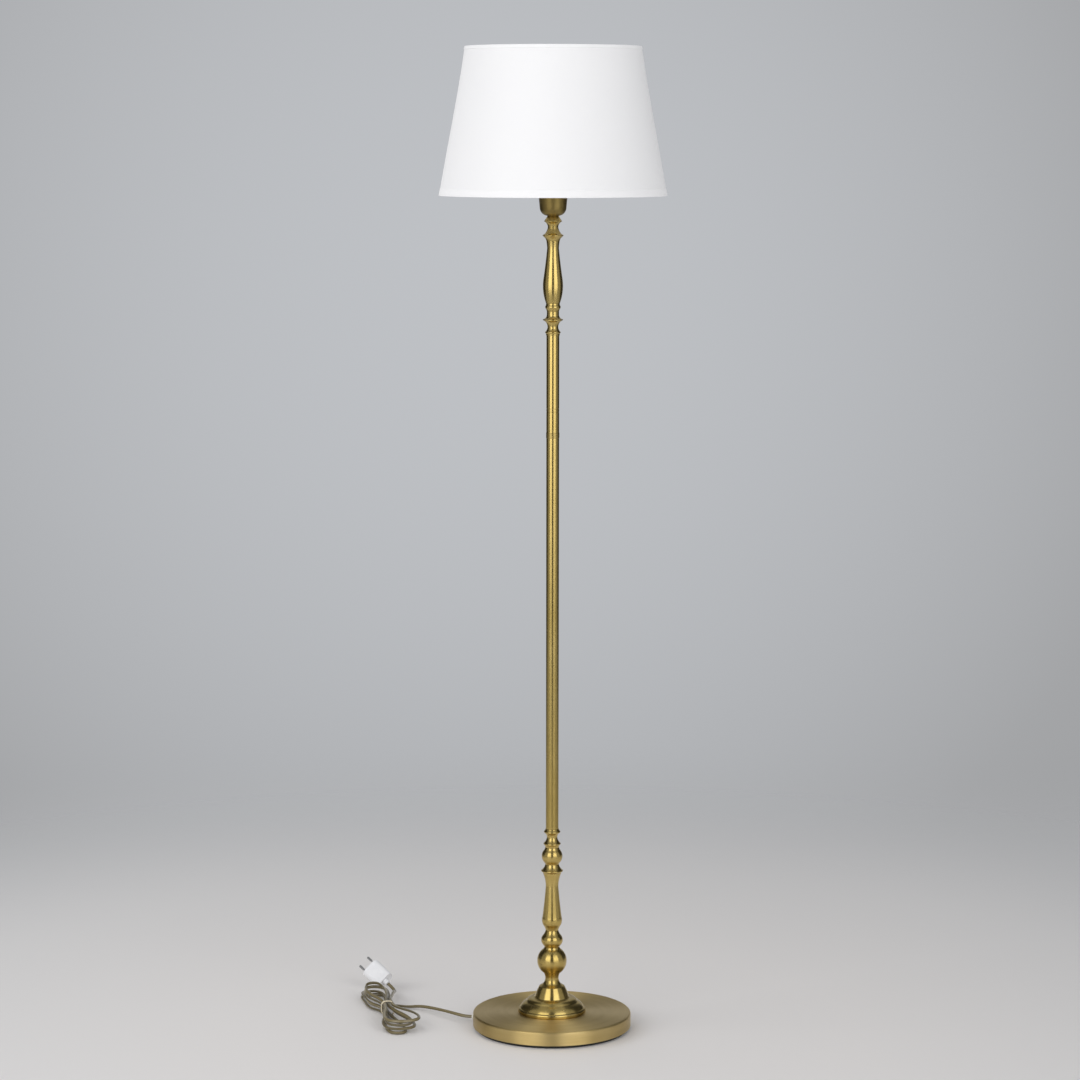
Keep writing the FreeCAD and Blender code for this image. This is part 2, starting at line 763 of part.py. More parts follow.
# ---------------------------------------------------------------- cord
def corner_arc(before, corner, after):
    """Where the arc at a corner of a cord's route starts and ends, its middle, and its radius."""
    into = corner - before
    out = after - corner
    turn = into.getAngle(out)
    tangent = 0.45 * min(into.Length, out.Length)
    radius = tangent / math.tan(turn / 2)
    start = corner - into.normalize() * tangent
    end = corner + out.normalize() * tangent
    chord_middle = (start + end) / 2
    centre_gap = radius / math.cos(turn / 2)
    toward = (chord_middle - corner).normalize()
    middle = corner + toward * (centre_gap - radius)
    return start, middle, end, radius


def cord_wire(points):
    """Straight runs joined by tangent arcs, and the radii of the arcs."""
    edges = []
    radii = []
    last = points[0]
    for before, corner, after in zip(points, points[1:], points[2:]):
        start, middle, end, radius = corner_arc(before, corner, after)
        edges.append(Part.LineSegment(last, start).toShape())
        edges.append(Part.Arc(start, middle, end).toShape())
        radii.append(radius)
        last = end
    edges.append(Part.LineSegment(last, points[-1]).toShape())
    return Part.Wire(edges), radii


def swept(wire, radius):
    """A round tube along a wire."""
    first = wire.Edges[0]
    start = first.valueAt(first.FirstParameter)
    along = first.tangentAt(first.FirstParameter)
    circle = Part.Wire(Part.makeCircle(radius, start, along))
    return wire.makePipeShell([circle], True, False)


def free_stretch(name, points):
    wire, radii = cord_wire(points)
    solid = swept(wire, cord_radius)
    section = math.pi * cord_radius ** 2
    print(name, "length %.1f, arc radii" % wire.Length, ["%.1f" % r for r in radii],
          "volume share %.4f" % (solid.Volume / (section * wire.Length)))
    return solid


def hank_point(u, v, z):
    """A place on the hank: along it towards the front, across it, and up."""
    turn = math.radians(hank_turn)
    x = hank_centre[0] + u * math.cos(turn) - v * math.sin(turn)
    y = hank_centre[1] + u * math.sin(turn) + v * math.cos(turn)
    return FreeCAD.Vector(x, y, z)


def hank_heading(u, v):
    turn = math.radians(hank_turn)
    return FreeCAD.Vector(u * math.cos(turn) - v * math.sin(turn), u * math.sin(turn) + v * math.cos(turn), 0)


def layer_z(layer):
    return cord_radius + layer * hank_layer


def tie_lift():
    """How far the tie under the strands lifts them off the floor."""
    return tie_floor_gap + tie_thickness + tie_gap


def strand_width(front, right, inset, layer):
    """Distance of a strand from the hank's middle line where a lobe is widest."""
    if front:
        width, fan = (front_right_width, front_right_fan) if right else (front_left_width, front_left_fan)
    else:
        width, fan = (back_right_width, back_right_fan) if right else (back_left_width, back_left_fan)
    return width + fan * layer - inset * hank_step


def waist_place(right, inset):
    side = (1.25 - inset) * hank_step
    return side if right else -side


def lobe_tip(front, inset, layer):
    reach = hank_front_reach if front else hank_back_reach
    return reach - hank_shrink * layer - inset * hank_step


def unit(u, v):
    return hank_heading(u, v).normalize()


def end_run(place, heading, z, distance):
    """A node of the hank moved along its heading."""
    return hank_point(place[0], place[1], z) + unit(*heading) * distance


def hank_nodes():
    """Places and headings along the whole hank. The right strands run back, the left ones forward."""
    right_insets = [0.0, 1.0]
    left_inset = 0.5
    backward = hank_heading(-1, 0)
    forward = hank_heading(1, 0)
    start_z = layer_z(0) + tie_lift()
    start_heading = unit(*hank_start_heading)
    nodes = [(end_run(hank_start, hank_start_heading, start_z, -cord_diameter), start_heading)]
    nodes.append((hank_point(*hank_start, start_z), start_heading))
    nodes.append((hank_point(*hank_second, layer_z(0)), backward))
    back_u = -(lobe_tip(False, 0, 0) - hank_lobe_length)
    nodes.append((hank_point(back_u, strand_width(False, True, 0, 0), layer_z(0)), backward))
    right_inset = right_insets[0]
    for layer in range(hank_layers):
        z = layer_z(layer)
        tip_inset = (right_inset + left_inset) / 2
        tip = -lobe_tip(False, tip_inset, layer)
        left = -strand_width(False, False, left_inset, layer)
        right = strand_width(False, True, right_inset, layer)
        tip_z = z + hank_back_lift * (layer / (hank_layers - 1)) ** 2
        nodes.append((hank_point(tip, (left + right) / 2, tip_z), hank_heading(0, -1)))
        lobe = back_left_lobe + back_left_lobe_fan * layer
        nodes.append((hank_point(tip + lobe, left, z), forward))
        nodes.append((hank_point(0, waist_place(False, left_inset), z + tie_lift()), forward))
        left = -strand_width(True, False, left_inset, layer)
        right_inset = right_insets[(layer + 1) % 2]
        right = strand_width(True, True, right_inset, layer)
        tip = lobe_tip(True, (right_inset + left_inset) / 2, layer)
        nodes.append((hank_point(tip - hank_lobe_length, left, z), forward))
        nodes.append((hank_point(tip, (left + right) / 2, z), hank_heading(0, 1)))
        nodes.append((hank_point(tip - hank_lobe_length, right, z), backward))
        climb = min(layer + 1, hank_layers - 1)
        middle_z = (z + layer_z(climb)) / 2 + tie_lift()
        nodes.append((hank_point(0, waist_place(True, right_inset), middle_z), backward))
        if climb > layer:
            right = strand_width(False, True, right_inset, climb)
            back_u = -(lobe_tip(False, right_inset, climb) - hank_lobe_length)
            nodes.append((hank_point(back_u, right, layer_z(climb)), backward))
    top = layer_z(hank_layers - 1)
    nodes.append((hank_point(*hank_end, top), unit(*hank_end_heading)))
    nodes.append((end_run(hank_end, hank_end_heading, top, cord_diameter), unit(*hank_end_heading)))
    return nodes


def biarc(p0, t0, p1, t1):
    """Two arcs, tangent to each other, from one place and heading to the next."""
    gap = p1 - p0
    both = t0 + t1
    a = 2 * (1 - t0.dot(t1))
    b = 2 * gap.dot(both)
    c = -gap.dot(gap)
    if abs(a) < 1e-9:
        if abs(b) < 1e-9:
            return [Part.LineSegment(p0, p1).toShape()]
        reach = -c / b
    else:
        reach = (-b + math.sqrt(b * b - 4 * a * c)) / (2 * a)
    knee0 = p0 + t0 * reach
    knee1 = p1 - t1 * reach
    join = (knee0 + knee1) / 2
    return [tangent_arc(p0, t0, join), tangent_arc(join, (knee1 - knee0).normalize(), p1)]


def tangent_arc(start, heading, end):
    """The arc that leaves start along a heading and ends at end."""
    chord = end - start
    sine = heading.cross(chord).Length / chord.Length
    if sine < 1e-7:
        return Part.LineSegment(start, end).toShape()
    turn = heading.getAngle(chord)
    bow = chord.Length / 2 * math.tan(turn / 2)
    across = heading - chord * (heading.dot(chord) / chord.dot(chord))
    middle = (start + end) / 2 + across.normalize() * bow
    return Part.Arc(start, middle, end).toShape()


def hank_wire():
    nodes = hank_nodes()
    edges = []
    for (p0, t0), (p1, t1) in zip(nodes, nodes[1:]):
        edges.extend(biarc(p0, t0, p1, t1))
    return Part.Wire(edges)


def least_gap(wire, diameter):
    """Least gap of a tube to itself, measured between points a short way apart along it."""
    pitch = 2.0
    count = int(wire.Length / pitch)
    points = wire.discretize(Number=count)
    apart = int(4 * diameter / pitch)
    least = None
    for i, p in enumerate(points):
        for q in points[i + apart:]:
            gap = p.distanceToPoint(q)
            if least is None or gap < least:
                least = gap
    return least - diameter


def make_hank():
    wire = hank_wire()
    print("cord_hank length %.1f, least gap to itself %.2f" % (wire.Length, least_gap(wire, cord_diameter)))
    return swept(wire, cord_radius)


def make_tie():
    """Thin band round the strands at the waist."""
    inside_low = tie_floor_gap + tie_thickness
    inside_high = layer_z(hank_layers - 1) + tie_lift() + cord_radius + tie_gap
    left = waist_place(False, 0.5) - cord_radius - tie_gap
    right = waist_place(True, 0) + cord_radius + tie_gap
    t = tie_thickness
    outer = Part.makeBox(tie_width, right - left + 2 * t, inside_high - inside_low + 2 * t,
                         FreeCAD.Vector(-tie_width / 2, left - t, inside_low - t))
    inner = Part.makeBox(tie_width + 2, right - left, inside_high - inside_low,
                         FreeCAD.Vector(-tie_width / 2 - 1, left, inside_low))
    outer = rounded_along(outer, cord_radius)
    inner = rounded_along(inner, cord_radius - t)
    band = outer.cut(inner)
    band.rotate(ORIGIN, Z_AXIS, hank_turn)
    band.translate(FreeCAD.Vector(hank_centre[0], hank_centre[1], 0))
    return band


def rounded_along(box, radius):
    """Rounds the four edges of a box that run along X."""
    edges = []
    for edge in box.Edges:
        if abs(edge.tangentAt(edge.FirstParameter).x) > 0.9:
            edges.append(edge)
    return box.makeFillet(radius, edges)


def exit_point(distance):
    return exit_direction() * distance + FreeCAD.Vector(0, 0, cord_exit_height)


def lead_points():
    start = exit_point(base_radius + bush_flange)
    end, heading = hank_nodes()[0]
    points = [start, exit_point(base_radius + bush_flange + lead_first_run)]
    for place in lead_route:
        points.append(FreeCAD.Vector(*place))
    points.append(end - heading * lead_last_run)
    points.append(end)
    return points


def plug_place():
    along = FreeCAD.Vector(*plug_forward)
    across = FreeCAD.Vector(*plug_across)
    turn = FreeCAD.Rotation(along, across, along.cross(across), "XYZ")
    return FreeCAD.Placement(FreeCAD.Vector(*plug_centre), turn)


def tail_points():
    """From the hank's upper end, back beside the lobe and up into the plug."""
    start, heading = hank_nodes()[-1]
    axis = plug_place().Rotation.multVec(X_AXIS)
    end = FreeCAD.Vector(*plug_centre) - axis * (plug_length / 2 + plug_collar_length)
    points = [start, start + heading * tail_first_run]
    for place in tail_route:
        points.append(hank_point(*place))
    return points + [end - axis * tail_last_run, end]


def make_inner_lead():
    """The cord inside the lamp: along the base's channel, under the threaded tube and up the column."""
    start = exit_point(base_radius + bush_flange)
    low = cord_radius + pad_thickness + 0.3
    bend = inner_bend
    along = exit_direction()
    points = [start, exit_point(base_radius - 30), along * 45 + FreeCAD.Vector(0, 0, low),
              along * bend + FreeCAD.Vector(0, 0, low)]
    wire = cord_wire(points)[0]
    rise = FreeCAD.Vector(0, 0, low + bend)
    centre = along * bend + rise
    middle = centre + (FreeCAD.Vector(0, 0, low) - centre).normalize() * bend
    arc = Part.Arc(points[-1], middle, rise).toShape()
    top = FreeCAD.Vector(0, 0, holder_z + cup_dome_height + 8.0)
    up = Part.LineSegment(rise, top).toShape()
    return swept(Part.Wire(wire.Edges + [arc, up]), cord_radius)


# ---------------------------------------------------------------- plug
def stadium(width, thickness, x):
    """A flat oval section across the plug's axis."""
    half = (width - thickness) / 2
    r = thickness / 2
    p = [FreeCAD.Vector(x, -half, r), FreeCAD.Vector(x, half, r), FreeCAD.Vector(x, half + r, 0),
         FreeCAD.Vector(x, half, -r), FreeCAD.Vector(x, -half, -r), FreeCAD.Vector(x, -half - r, 0)]
    edges = [Part.LineSegment(p[0], p[1]).toShape(), Part.Arc(p[1], p[2], p[3]).toShape(),
             Part.LineSegment(p[3], p[4]).toShape(), Part.Arc(p[4], p[5], p[0]).toShape()]
    return Part.Wire(edges)


def pin_rod(side, radius, start, end):
    """A round bar along a pin, from one distance outside the body to another."""
    place = FreeCAD.Vector(plug_length / 2 + start, side * pin_spacing / 2, 0)
    return Part.makeCylinder(radius, end - start, place, X_AXIS)


def make_plug_body():
    """Oval body that tapers to the cord, with a short collar and holes for the pins."""
    half = plug_length / 2
    front = Part.makeLoft([stadium(plug_width, plug_thickness, half),
                           stadium(plug_width, plug_thickness, half - 0.45 * plug_length)], True, True)
    back = Part.makeLoft([stadium(plug_width, plug_thickness, half - 0.45 * plug_length),
                          stadium(plug_tail_width, plug_tail_thickness, -half)], True, True)
    collar = Part.makeCone(plug_collar_radius, plug_collar_radius + 1.0, plug_collar_length + 2,
                           FreeCAD.Vector(-half - plug_collar_length, 0, 0), X_AXIS)
    body = front.fuse(back).fuse(collar)
    for side in (-1, 1):
        body = body.cut(pin_rod(side, pin_neck_radius, -pin_root, 1.0))
    return body


def plug_half(upper):
    """One half of the body, split along the plane of the pins."""
    size = plug_length + 2 * plug_collar_length + 20
    low = 0 if upper else -size
    keep = Part.makeBox(size, size, size, FreeCAD.Vector(-size / 2, -size / 2, low))
    half = make_plug_body().common(keep)
    half.Placement = plug_place().multiply(half.Placement)
    return half


def make_pins():
    pins = []
    for side in (-1, 1):
        metal = pin_rod(side, pin_radius, pin_neck_length, pin_length)
        tip = [e for e in metal.Edges if e.BoundBox.XMin > plug_length / 2 + pin_length - 0.1]
        metal = metal.makeFillet(pin_tip_radius, tip)
        pins.append(metal.fuse(pin_rod(side, pin_neck_radius, -pin_root, pin_neck_length)))
    group = Part.makeCompound(pins)
    group.Placement = plug_place().multiply(group.Placement)
    return group


# ---------------------------------------------------------------- build
def main():
    os.makedirs("parts", exist_ok=True)
    save("felt_pad", make_pad())
    save("base_weight", make_weight())
    save("base_shell", make_shell())
    save("cord_bush", make_bush())
    save("base_washer", sleeve(washer_radius, tube_radius + 0.3, nut_top, washer_thickness))
    save("base_nut", make_nut())
    save("lower_threaded_tube", make_tube(tube_bottom, pole_z + bush_length))
    save("foot_bell", make_foot())
    save("big_ball", make_ball())
    save("lower_bead", make_bead())
    save("lower_baluster", make_lower_baluster())
    save("small_ball", make_small_ball())
    save("lower_collar", make_lower_collar())
    save("pole_foot_bush", make_pole_bush(pole_z))
    save("pole_lower", make_pole(pole_z, coupling_height, pole_z + lower_groove_height))
    save("pole_coupler", make_coupler())
    upper_z = pole_z + coupling_height + coupling_width
    upper_length = pole_length - coupling_height - coupling_width
    save("pole_upper", make_pole(upper_z, upper_length, pole_z + upper_groove_height))
    save("pole_head_bush", make_pole_bush(disc_collar_z - bush_length))
    save("upper_threaded_tube", make_tube(disc_collar_z - bush_length, holder_z + upper_tube_reach))
    save("disc_collar", make_disc_collar())
    save("ring_collar", make_ring_collar())
    save("upper_baluster", make_upper_baluster())
    save("flange_collar", make_flange_collar())
    save("cone_collar", make_cone_collar())
    save("holder_cup", make_cup())
    save("holder_shell", make_holder_shell())
    save("holder_core", make_core())
    save("socket_sleeve", make_socket())
    save("centre_contact", drum(contact_radius, core_floor_z, contact_height))
    save("switch_spindle", make_spindle())
    save("switch_knob", make_knob())
    save("shade_ring", make_shade_ring())
    save("bulb_tip", make_bulb_tip())
    save("bulb_cap", make_bulb_cap())
    save("bulb_glass", make_bulb_glass())
    save("shade_cover", make_cover())
    save("shade_top_ring", make_top_ring())
    save("shade_carrier", make_carrier())
    save("inner_lead", make_inner_lead())
    save("cord_lead", free_stretch("cord_lead", lead_points()))
    save("cord_hank", make_hank())
    save("cord_tail", free_stretch("cord_tail", tail_points()))
    save("cord_tie", make_tie())
    save("plug_front_half", plug_half(True))
    save("plug_back_half", plug_half(False))
    save("plug_pins", make_pins())


main()
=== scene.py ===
"""Finish of the candlestick floor lamp: satin brass column, white fabric shade and a tied twin cord.

Metres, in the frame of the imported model. The camera and the cords come first.
"""
import bmesh
import bpy
import json
import math
from mathutils import Matrix, Vector


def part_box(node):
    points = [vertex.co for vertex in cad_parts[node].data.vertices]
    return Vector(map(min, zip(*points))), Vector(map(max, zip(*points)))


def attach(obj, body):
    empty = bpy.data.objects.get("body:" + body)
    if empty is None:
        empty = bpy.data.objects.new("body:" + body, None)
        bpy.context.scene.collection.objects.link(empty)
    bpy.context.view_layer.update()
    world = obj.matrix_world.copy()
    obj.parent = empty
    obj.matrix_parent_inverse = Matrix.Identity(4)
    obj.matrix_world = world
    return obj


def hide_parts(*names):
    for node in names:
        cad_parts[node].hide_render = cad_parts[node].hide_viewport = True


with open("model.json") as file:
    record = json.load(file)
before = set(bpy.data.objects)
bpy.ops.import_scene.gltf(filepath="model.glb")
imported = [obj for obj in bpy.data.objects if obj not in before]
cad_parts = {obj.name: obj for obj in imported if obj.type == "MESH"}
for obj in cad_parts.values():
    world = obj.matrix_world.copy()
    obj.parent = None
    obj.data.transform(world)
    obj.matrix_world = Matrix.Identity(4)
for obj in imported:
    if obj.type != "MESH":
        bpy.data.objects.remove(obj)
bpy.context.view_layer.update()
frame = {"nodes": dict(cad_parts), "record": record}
MM = 0.001

# ---------------------------------------------------------------- camera
CAMERA_PLACE = (-0.0196, -4.977, 1.417)
CAMERA_PITCH = math.radians(82.71)
CAMERA_ROLL = math.radians(0.06)
CAMERA_LENS = 107.36

# ---------------------------------------------------------------- studio
AMBIENT = (0.43, 0.435, 0.445)
BACKDROP_CENTRE = (-0.02, 1.0, -0.05)
BACKDROP_EDGE = 0.975
BACKDROP_NEAR = (0.515, 0.53, 0.555)
BACKDROP_FAR = (0.36, 0.365, 0.375)
FLOOR_REACH = 4.0
FLOOR_FADE = (1.0, 2.4)
FLOOR_STOPS = (0.12, 0.42)         # shares of the floor's reach
# the floor's colour runs from lighter near the lamp to darker farther out: a painted fall-off of light
FLOOR_NEAR = (0.79, 0.765, 0.75)
FLOOR_FAR = (0.68, 0.68, 0.685)
PANEL_TURN = 33.0
PANEL_REACH = 3.0
PANEL_HEIGHT = 1.8
PANEL_SIZE = (2.2, 2.7)
PANEL_POWER = 31.0
LEFT_PANEL_SHARE = 1.1
KEY_PLACE = (-75.0, 3.2, 1.9)
KEY_POWER = 30.0
FILL_PLACE = (42.0, 3.4, 1.9)
FILL_POWER = 12.0
BACK_PLACE = (215.0, 2.6, 3.0)
BACK_POWER = 12.0
SIDE_PANEL_SIZE = (1.8, 1.8)
SIDE_PANEL_AIM = (0.0, 0.0, 0.9)
# dark cards round the lamp, in degrees from the camera's side towards +X
CARD_TURNS = {"left": (-150.0, -95.0), "middle": (-11.0, 11.0), "right": (95.0, 150.0)}
CARD_REACH = 2.8
CARD_HEIGHT = 5.0

# ---------------------------------------------------------------- cord, as in the part
CORD_WIDTH = 5.2 * MM
CORD_THICKNESS = 3.3 * MM
CORD_RADIUS = CORD_WIDTH / 2
EXIT_TURN = math.radians(170.0)
EXIT_HEIGHT = 11.0 * MM
EXIT_REACH = 129.0 * MM
LEAD_ROUTE = [(-149.5, 31.2, 11.9), (-165.0, 49.0, 11.4), (-181.0, 66.5, 10.3), (-197.5, 84.0, 8.8),
              (-212.5, 98.0, 6.9)]
LEAD_FIRST_RUN = 10.0
LEAD_LAST_RUN = 14.0
TAIL_ROUTE = [(-80.0, 26.4, 17.5), (-94.0, 29.5, 12.8), (-109.4, 34.8, 7.0)]
TAIL_FIRST_RUN = 13.0
TAIL_LAST_RUN = 14.0
HANK_CENTRE = (-265.0, 66.0)
HANK_TURN = math.radians(-76.5)
HANK_LAYERS = 4
HANK_LAYER = 5.75
HANK_STEP = 6.2
HANK_SHRINK = 1.6
LOBE_LENGTH = 21.0
HANK_BACK_LIFT = 4.0
FRONT_REACH = 115.0
BACK_REACH = 125.0
BACK_LEFT_LOBE = 62.0
BACK_LEFT_LOBE_FAN = -12.0
TIE_LIFT = 1.2
HANK_START = (-42.0, 26.0)
HANK_START_HEADING = (-0.577, -0.817)
HANK_SECOND = (-61.0, 16.0)
HANK_END = (-48.0, 17.5)
HANK_END_HEADING = (-0.95, 0.312)
# width of each lobe's side on the lowest layer, and how much it changes for each higher one
LOBE_WIDTHS = {("front", "right"): (22.0, 4.0), ("front", "left"): (22.0, -0.8),
               ("back", "right"): (18.5, 0.5), ("back", "left"): (24.0, -1.2)}
# how far the loose loops of each layer stray outward, at their sides and at their tip, in millimetres
FRONT_STRAY = [(-3.0, 1.0), (2.0, -2.5), (-1.0, 2.0), (1.5, -1.0)]
BACK_STRAY = [(0.0, -1.5), (0.0, 2.0), (0.0, 1.0), (0.0, 0.5)]

# ---------------------------------------------------------------- plug, as in the part
PLUG_CENTRE = Vector((-287.2, 223.0, 26.0)) * MM
PLUG_AXIS = Vector((-0.6352, 0.6712, 0.3821)).normalized()
PLUG_LENGTH = 40.0 * MM
PLUG_COLLAR = 8.0 * MM

# ---------------------------------------------------------------- small sizes
EXIT_HOLE = 3.9 * MM
DRILL_LENGTH = 12.0 * MM
CORD_STEP = 2.2 * MM
# how the flat cord rolls along its length: size of each wave in radians, waves' pace per metre, start
CORD_ROLLS = ((0.9, 9.0, 0.0), (0.7, 23.0, 1.0), (0.35, 51.0, 2.0))
WEB_DEPTH = 0.20                # share of the cord's thickness
# the tie's sizes are in millimetres
TIE_WIRE = 0.9
TIE_WIDTH_SHARE = 1.15
TIE_THICKNESS_SHARE = 0.8
TIE_SKEW = 3.0
TIE_PITCH = 2.3
TIE_START = 0.9
TIE_ROUNDNESS = 0.62
TIE_STEPS = 96
SHADE_TOP_RADIUS = 135.5 * MM
CLOTH_PROUD = -0.25 * MM
CLOTH_THICKNESS = 0.9 * MM
CLOTH_DRAWN_IN = 0.7 * MM
CLOTH_RINGS = 24
HEM_LOW = 11.0 * MM
HEM_TOP = 5.0 * MM
HEM_PROUD = 0.45 * MM
HEM_THICKNESS = 0.7 * MM
HEM_RINGS = 2
WEAVE_PITCH = 0.0011
WEAVE_RADIUS = 0.155
WELD = 2e-6

# ---------------------------------------------------------------- eased edges
TURNED_EDGE = 0.35 * MM
POLE_EDGE = 0.28 * MM
POLE_SHARP = 12.0               # degrees above which the pole's grooves stay sharp
COUPLER_EDGE = 0.4 * MM
CUP_EDGE = 0.25 * MM
BASE_EDGE = 0.3 * MM
BUSH_EDGE = 0.4 * MM
RING_EDGE = 0.3 * MM
KNOB_EDGE = 0.5 * MM
PLUG_EDGE = 1.1 * MM
CORNER_TURN = math.radians(24.0)

BRASS_TURNED = ["foot_bell", "big_ball", "lower_bead", "lower_baluster", "small_ball", "lower_collar",
                "disc_collar", "ring_collar", "upper_baluster", "flange_collar", "cone_collar"]


# ---------------------------------------------------------------- modelling helpers
def select_only(*objects):
    bpy.ops.object.select_all(action="DESELECT")
    for obj in objects:
        obj.select_set(True)
    bpy.context.view_layer.objects.active = objects[0]


def edit(obj):
    select_only(obj)
    bpy.ops.object.mode_set(mode="EDIT")


def leave_edit():
    bpy.ops.object.mode_set(mode="OBJECT")


def pick(obj, verts=None, edges=None):
    """In edit mode, selects only what the test on each vertex or edge is true for."""
    mesh = bmesh.from_edit_mesh(obj.data)
    bpy.context.tool_settings.mesh_select_mode = (verts is not None, edges is not None, False)
    bpy.ops.mesh.select_all(action="DESELECT")
    for test, items in ((verts, mesh.verts), (edges, mesh.edges)):
        if test is not None:
            for item in items:
                if test(item):
                    item.select_set(True)
    mesh.select_flush_mode()
    bmesh.update_edit_mesh(obj.data)


def apply_modifier(obj, kind, **settings):
    select_only(obj)
    modifier = obj.modifiers.new(kind.lower(), kind)
    for name, value in settings.items():
        setattr(modifier, name, value)
    bpy.ops.object.modifier_apply(modifier=modifier.name)


def bake_place(obj):
    select_only(obj)
    bpy.ops.object.transform_apply(location=True, rotation=True, scale=True)


def smooth(obj, angle):
    select_only(obj)
    bpy.ops.object.shade_smooth_by_angle(angle=math.radians(angle), keep_sharp_edges=False)


def even_shading(obj, angle=35.0):
    """Smooth shading in which long and broad faces stay straight right up to their eased edges."""
    smooth(obj, angle)
    apply_modifier(obj, "WEIGHTED_NORMAL", mode="FACE_AREA", weight=50, keep_sharp=True)


def named(name, material):
    """The object just added, with its name and finish."""
    obj = bpy.context.object
    obj.name = name
    obj.data.name = name
    obj.data.materials.clear()
    obj.data.materials.append(material)
    return obj


def copy_of(node, name):
    """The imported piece's own mesh as a new object, its loose faces joined."""
    source = frame["nodes"][node]
    obj = bpy.data.objects.new(name, source.data.copy())
    bpy.context.scene.collection.objects.link(obj)
    obj.data.materials.clear()
    edit(obj)
    bpy.ops.mesh.select_all(action="SELECT")
    bpy.ops.mesh.remove_doubles(threshold=WELD)
    leave_edit()
    return obj


def stands_for(obj, node, body="stand"):
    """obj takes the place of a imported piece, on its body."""
    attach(obj, body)
    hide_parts(node)
    return obj


# ---------------------------------------------------------------- shader helpers
class Wire:
    """A socket that adds its own maths nodes when values are worked out with it."""

    def __init__(self, maker, socket):
        self.maker = maker
        self.socket = socket

    def math(self, operation, other, flip=False):
        first, second = (other, self) if flip else (self, other)
        return self.maker.node("ShaderNodeMath", {"operation": operation}, {0: first, 1: second})

    def __add__(self, other):
        return self.math("ADD", other)

    __radd__ = __add__

    def __mul__(self, other):
        return self.math("MULTIPLY", other)

    __rmul__ = __mul__

    def __rsub__(self, other):
        return self.math("SUBTRACT", other, flip=True)

    def __pow__(self, other):
        return self.math("POWER", other)


class Finish:
    """A material under construction. node() adds any node and returns its first output."""

    def __init__(self, name):
        self.material = bpy.data.materials.new(name)
        self.material.use_nodes = True
        self.nodes = self.material.node_tree.nodes
        self.links = self.material.node_tree.links
        self.shader = self.nodes["Principled BSDF"]
        self.output = self.nodes["Material Output"]

    def plug(self, socket, value):
        if isinstance(value, Wire):
            self.links.new(value.socket, socket)
        elif isinstance(value, (tuple, list)) and len(value) == 3 and socket.type == "RGBA":
            socket.default_value = (*value, 1.0)
        else:
            socket.default_value = value

    def node(self, kind, settings=None, inputs=None, output=0):
        made = self.nodes.new(kind)
        for name, value in (settings or {}).items():
            if name == "stops":
                ramp = made.color_ramp
                while len(ramp.elements) < len(value):
                    ramp.elements.new(0.5)
                for element, (place, colour) in zip(ramp.elements, value):
                    element.position = place
                    element.color = (*colour, 1.0)
            else:
                setattr(made, name, value)
        for key, value in (inputs or {}).items():
            self.plug(made.inputs[key], value)
        return Wire(self, made.outputs[output])

    def coordinates(self, kind="Object"):
        return self.node("ShaderNodeTexCoord", output=kind)

    def noise(self, vector, detail, roughness):
        return self.node("ShaderNodeTexNoise", {}, {"Vector": vector, "Scale": 1.0, "Detail": detail,
                                                    "Roughness": roughness})

    def scaled(self, vector, x, y, z):
        return self.node("ShaderNodeMapping", {}, {"Vector": vector, "Scale": (x, y, z)})

    def mix(self, factor, first, second):
        return self.node("ShaderNodeMix", {"data_type": "RGBA"}, {0: factor, 6: first, 7: second}, output=2)

    def bump(self, height, strength, distance):
        return self.node("ShaderNodeBump", {}, {"Height": height, "Strength": strength,
                                                "Distance": distance})

    def set(self, **sockets):
        """Sets the shader's sockets by name, with _ for a space."""
        for name, value in sockets.items():
            self.plug(self.shader.inputs[name.replace("_", " ")], value)
        return self


def polar(finish, vector):
    """Distance from the column's axis, angle about it and height, of an object coordinate."""
    parts = finish.nodes.new("ShaderNodeSeparateXYZ")
    finish.plug(parts.inputs[0], vector)
    x, y, z = (Wire(finish, parts.outputs[i]) for i in range(3))
    radius = (x * x + y * y) ** 0.5
    angle = finish.node("ShaderNodeMath", {"operation": "ARCTAN2"}, {0: y, 1: x})
    return radius, angle, z


def vector_of(finish, x, y, z):
    return finish.node("ShaderNodeCombineXYZ", {}, {0: x, 1: y, 2: z})


# ---------------------------------------------------------------- finishes
BRASS_LIGHT = (0.62, 0.465, 0.165)
BRASS_DEEP = (0.50, 0.36, 0.105)


def brushed(f, amount):
    """Lathe brushing: highlights that spread up and down the piece, across the fine rings."""
    f.set(Anisotropic=amount, Anisotropic_Rotation=0.25)


def brass(name="satin_brass", roughness=0.26, light=BRASS_LIGHT, deep=BRASS_DEEP, rings=1.0, spread=0.75):
    """Satin brass, brushed round the lathe: fine rings, slow drifts of colour and a little tarnish."""
    f = Finish(name)
    place = f.coordinates()
    radius, angle, z = polar(f, place)
    brushing = f.noise(vector_of(f, radius * 350.0, angle * 0.6, z * 350.0), 2.0, 0.5)
    drift = f.noise(f.scaled(place, 9.0, 9.0, 4.0), 3.0, 0.55)
    patina = f.noise(f.scaled(place, 45.0, 45.0, 20.0), 4.0, 0.55)
    tone = drift * 0.55 + patina * 0.35 + brushing * 0.1
    colour = f.node("ShaderNodeValToRGB", {"stops": [(0.34, deep), (0.60, light)]}, {0: tone})
    rough = roughness - 0.025 + brushing * 0.01 + patina * 0.05
    f.set(Metallic=1.0, Base_Color=colour, Roughness=rough)
    f.set(Normal=f.bump(brushing, 0.012 * rings, 0.00005))
    brushed(f, spread)
    return f.material


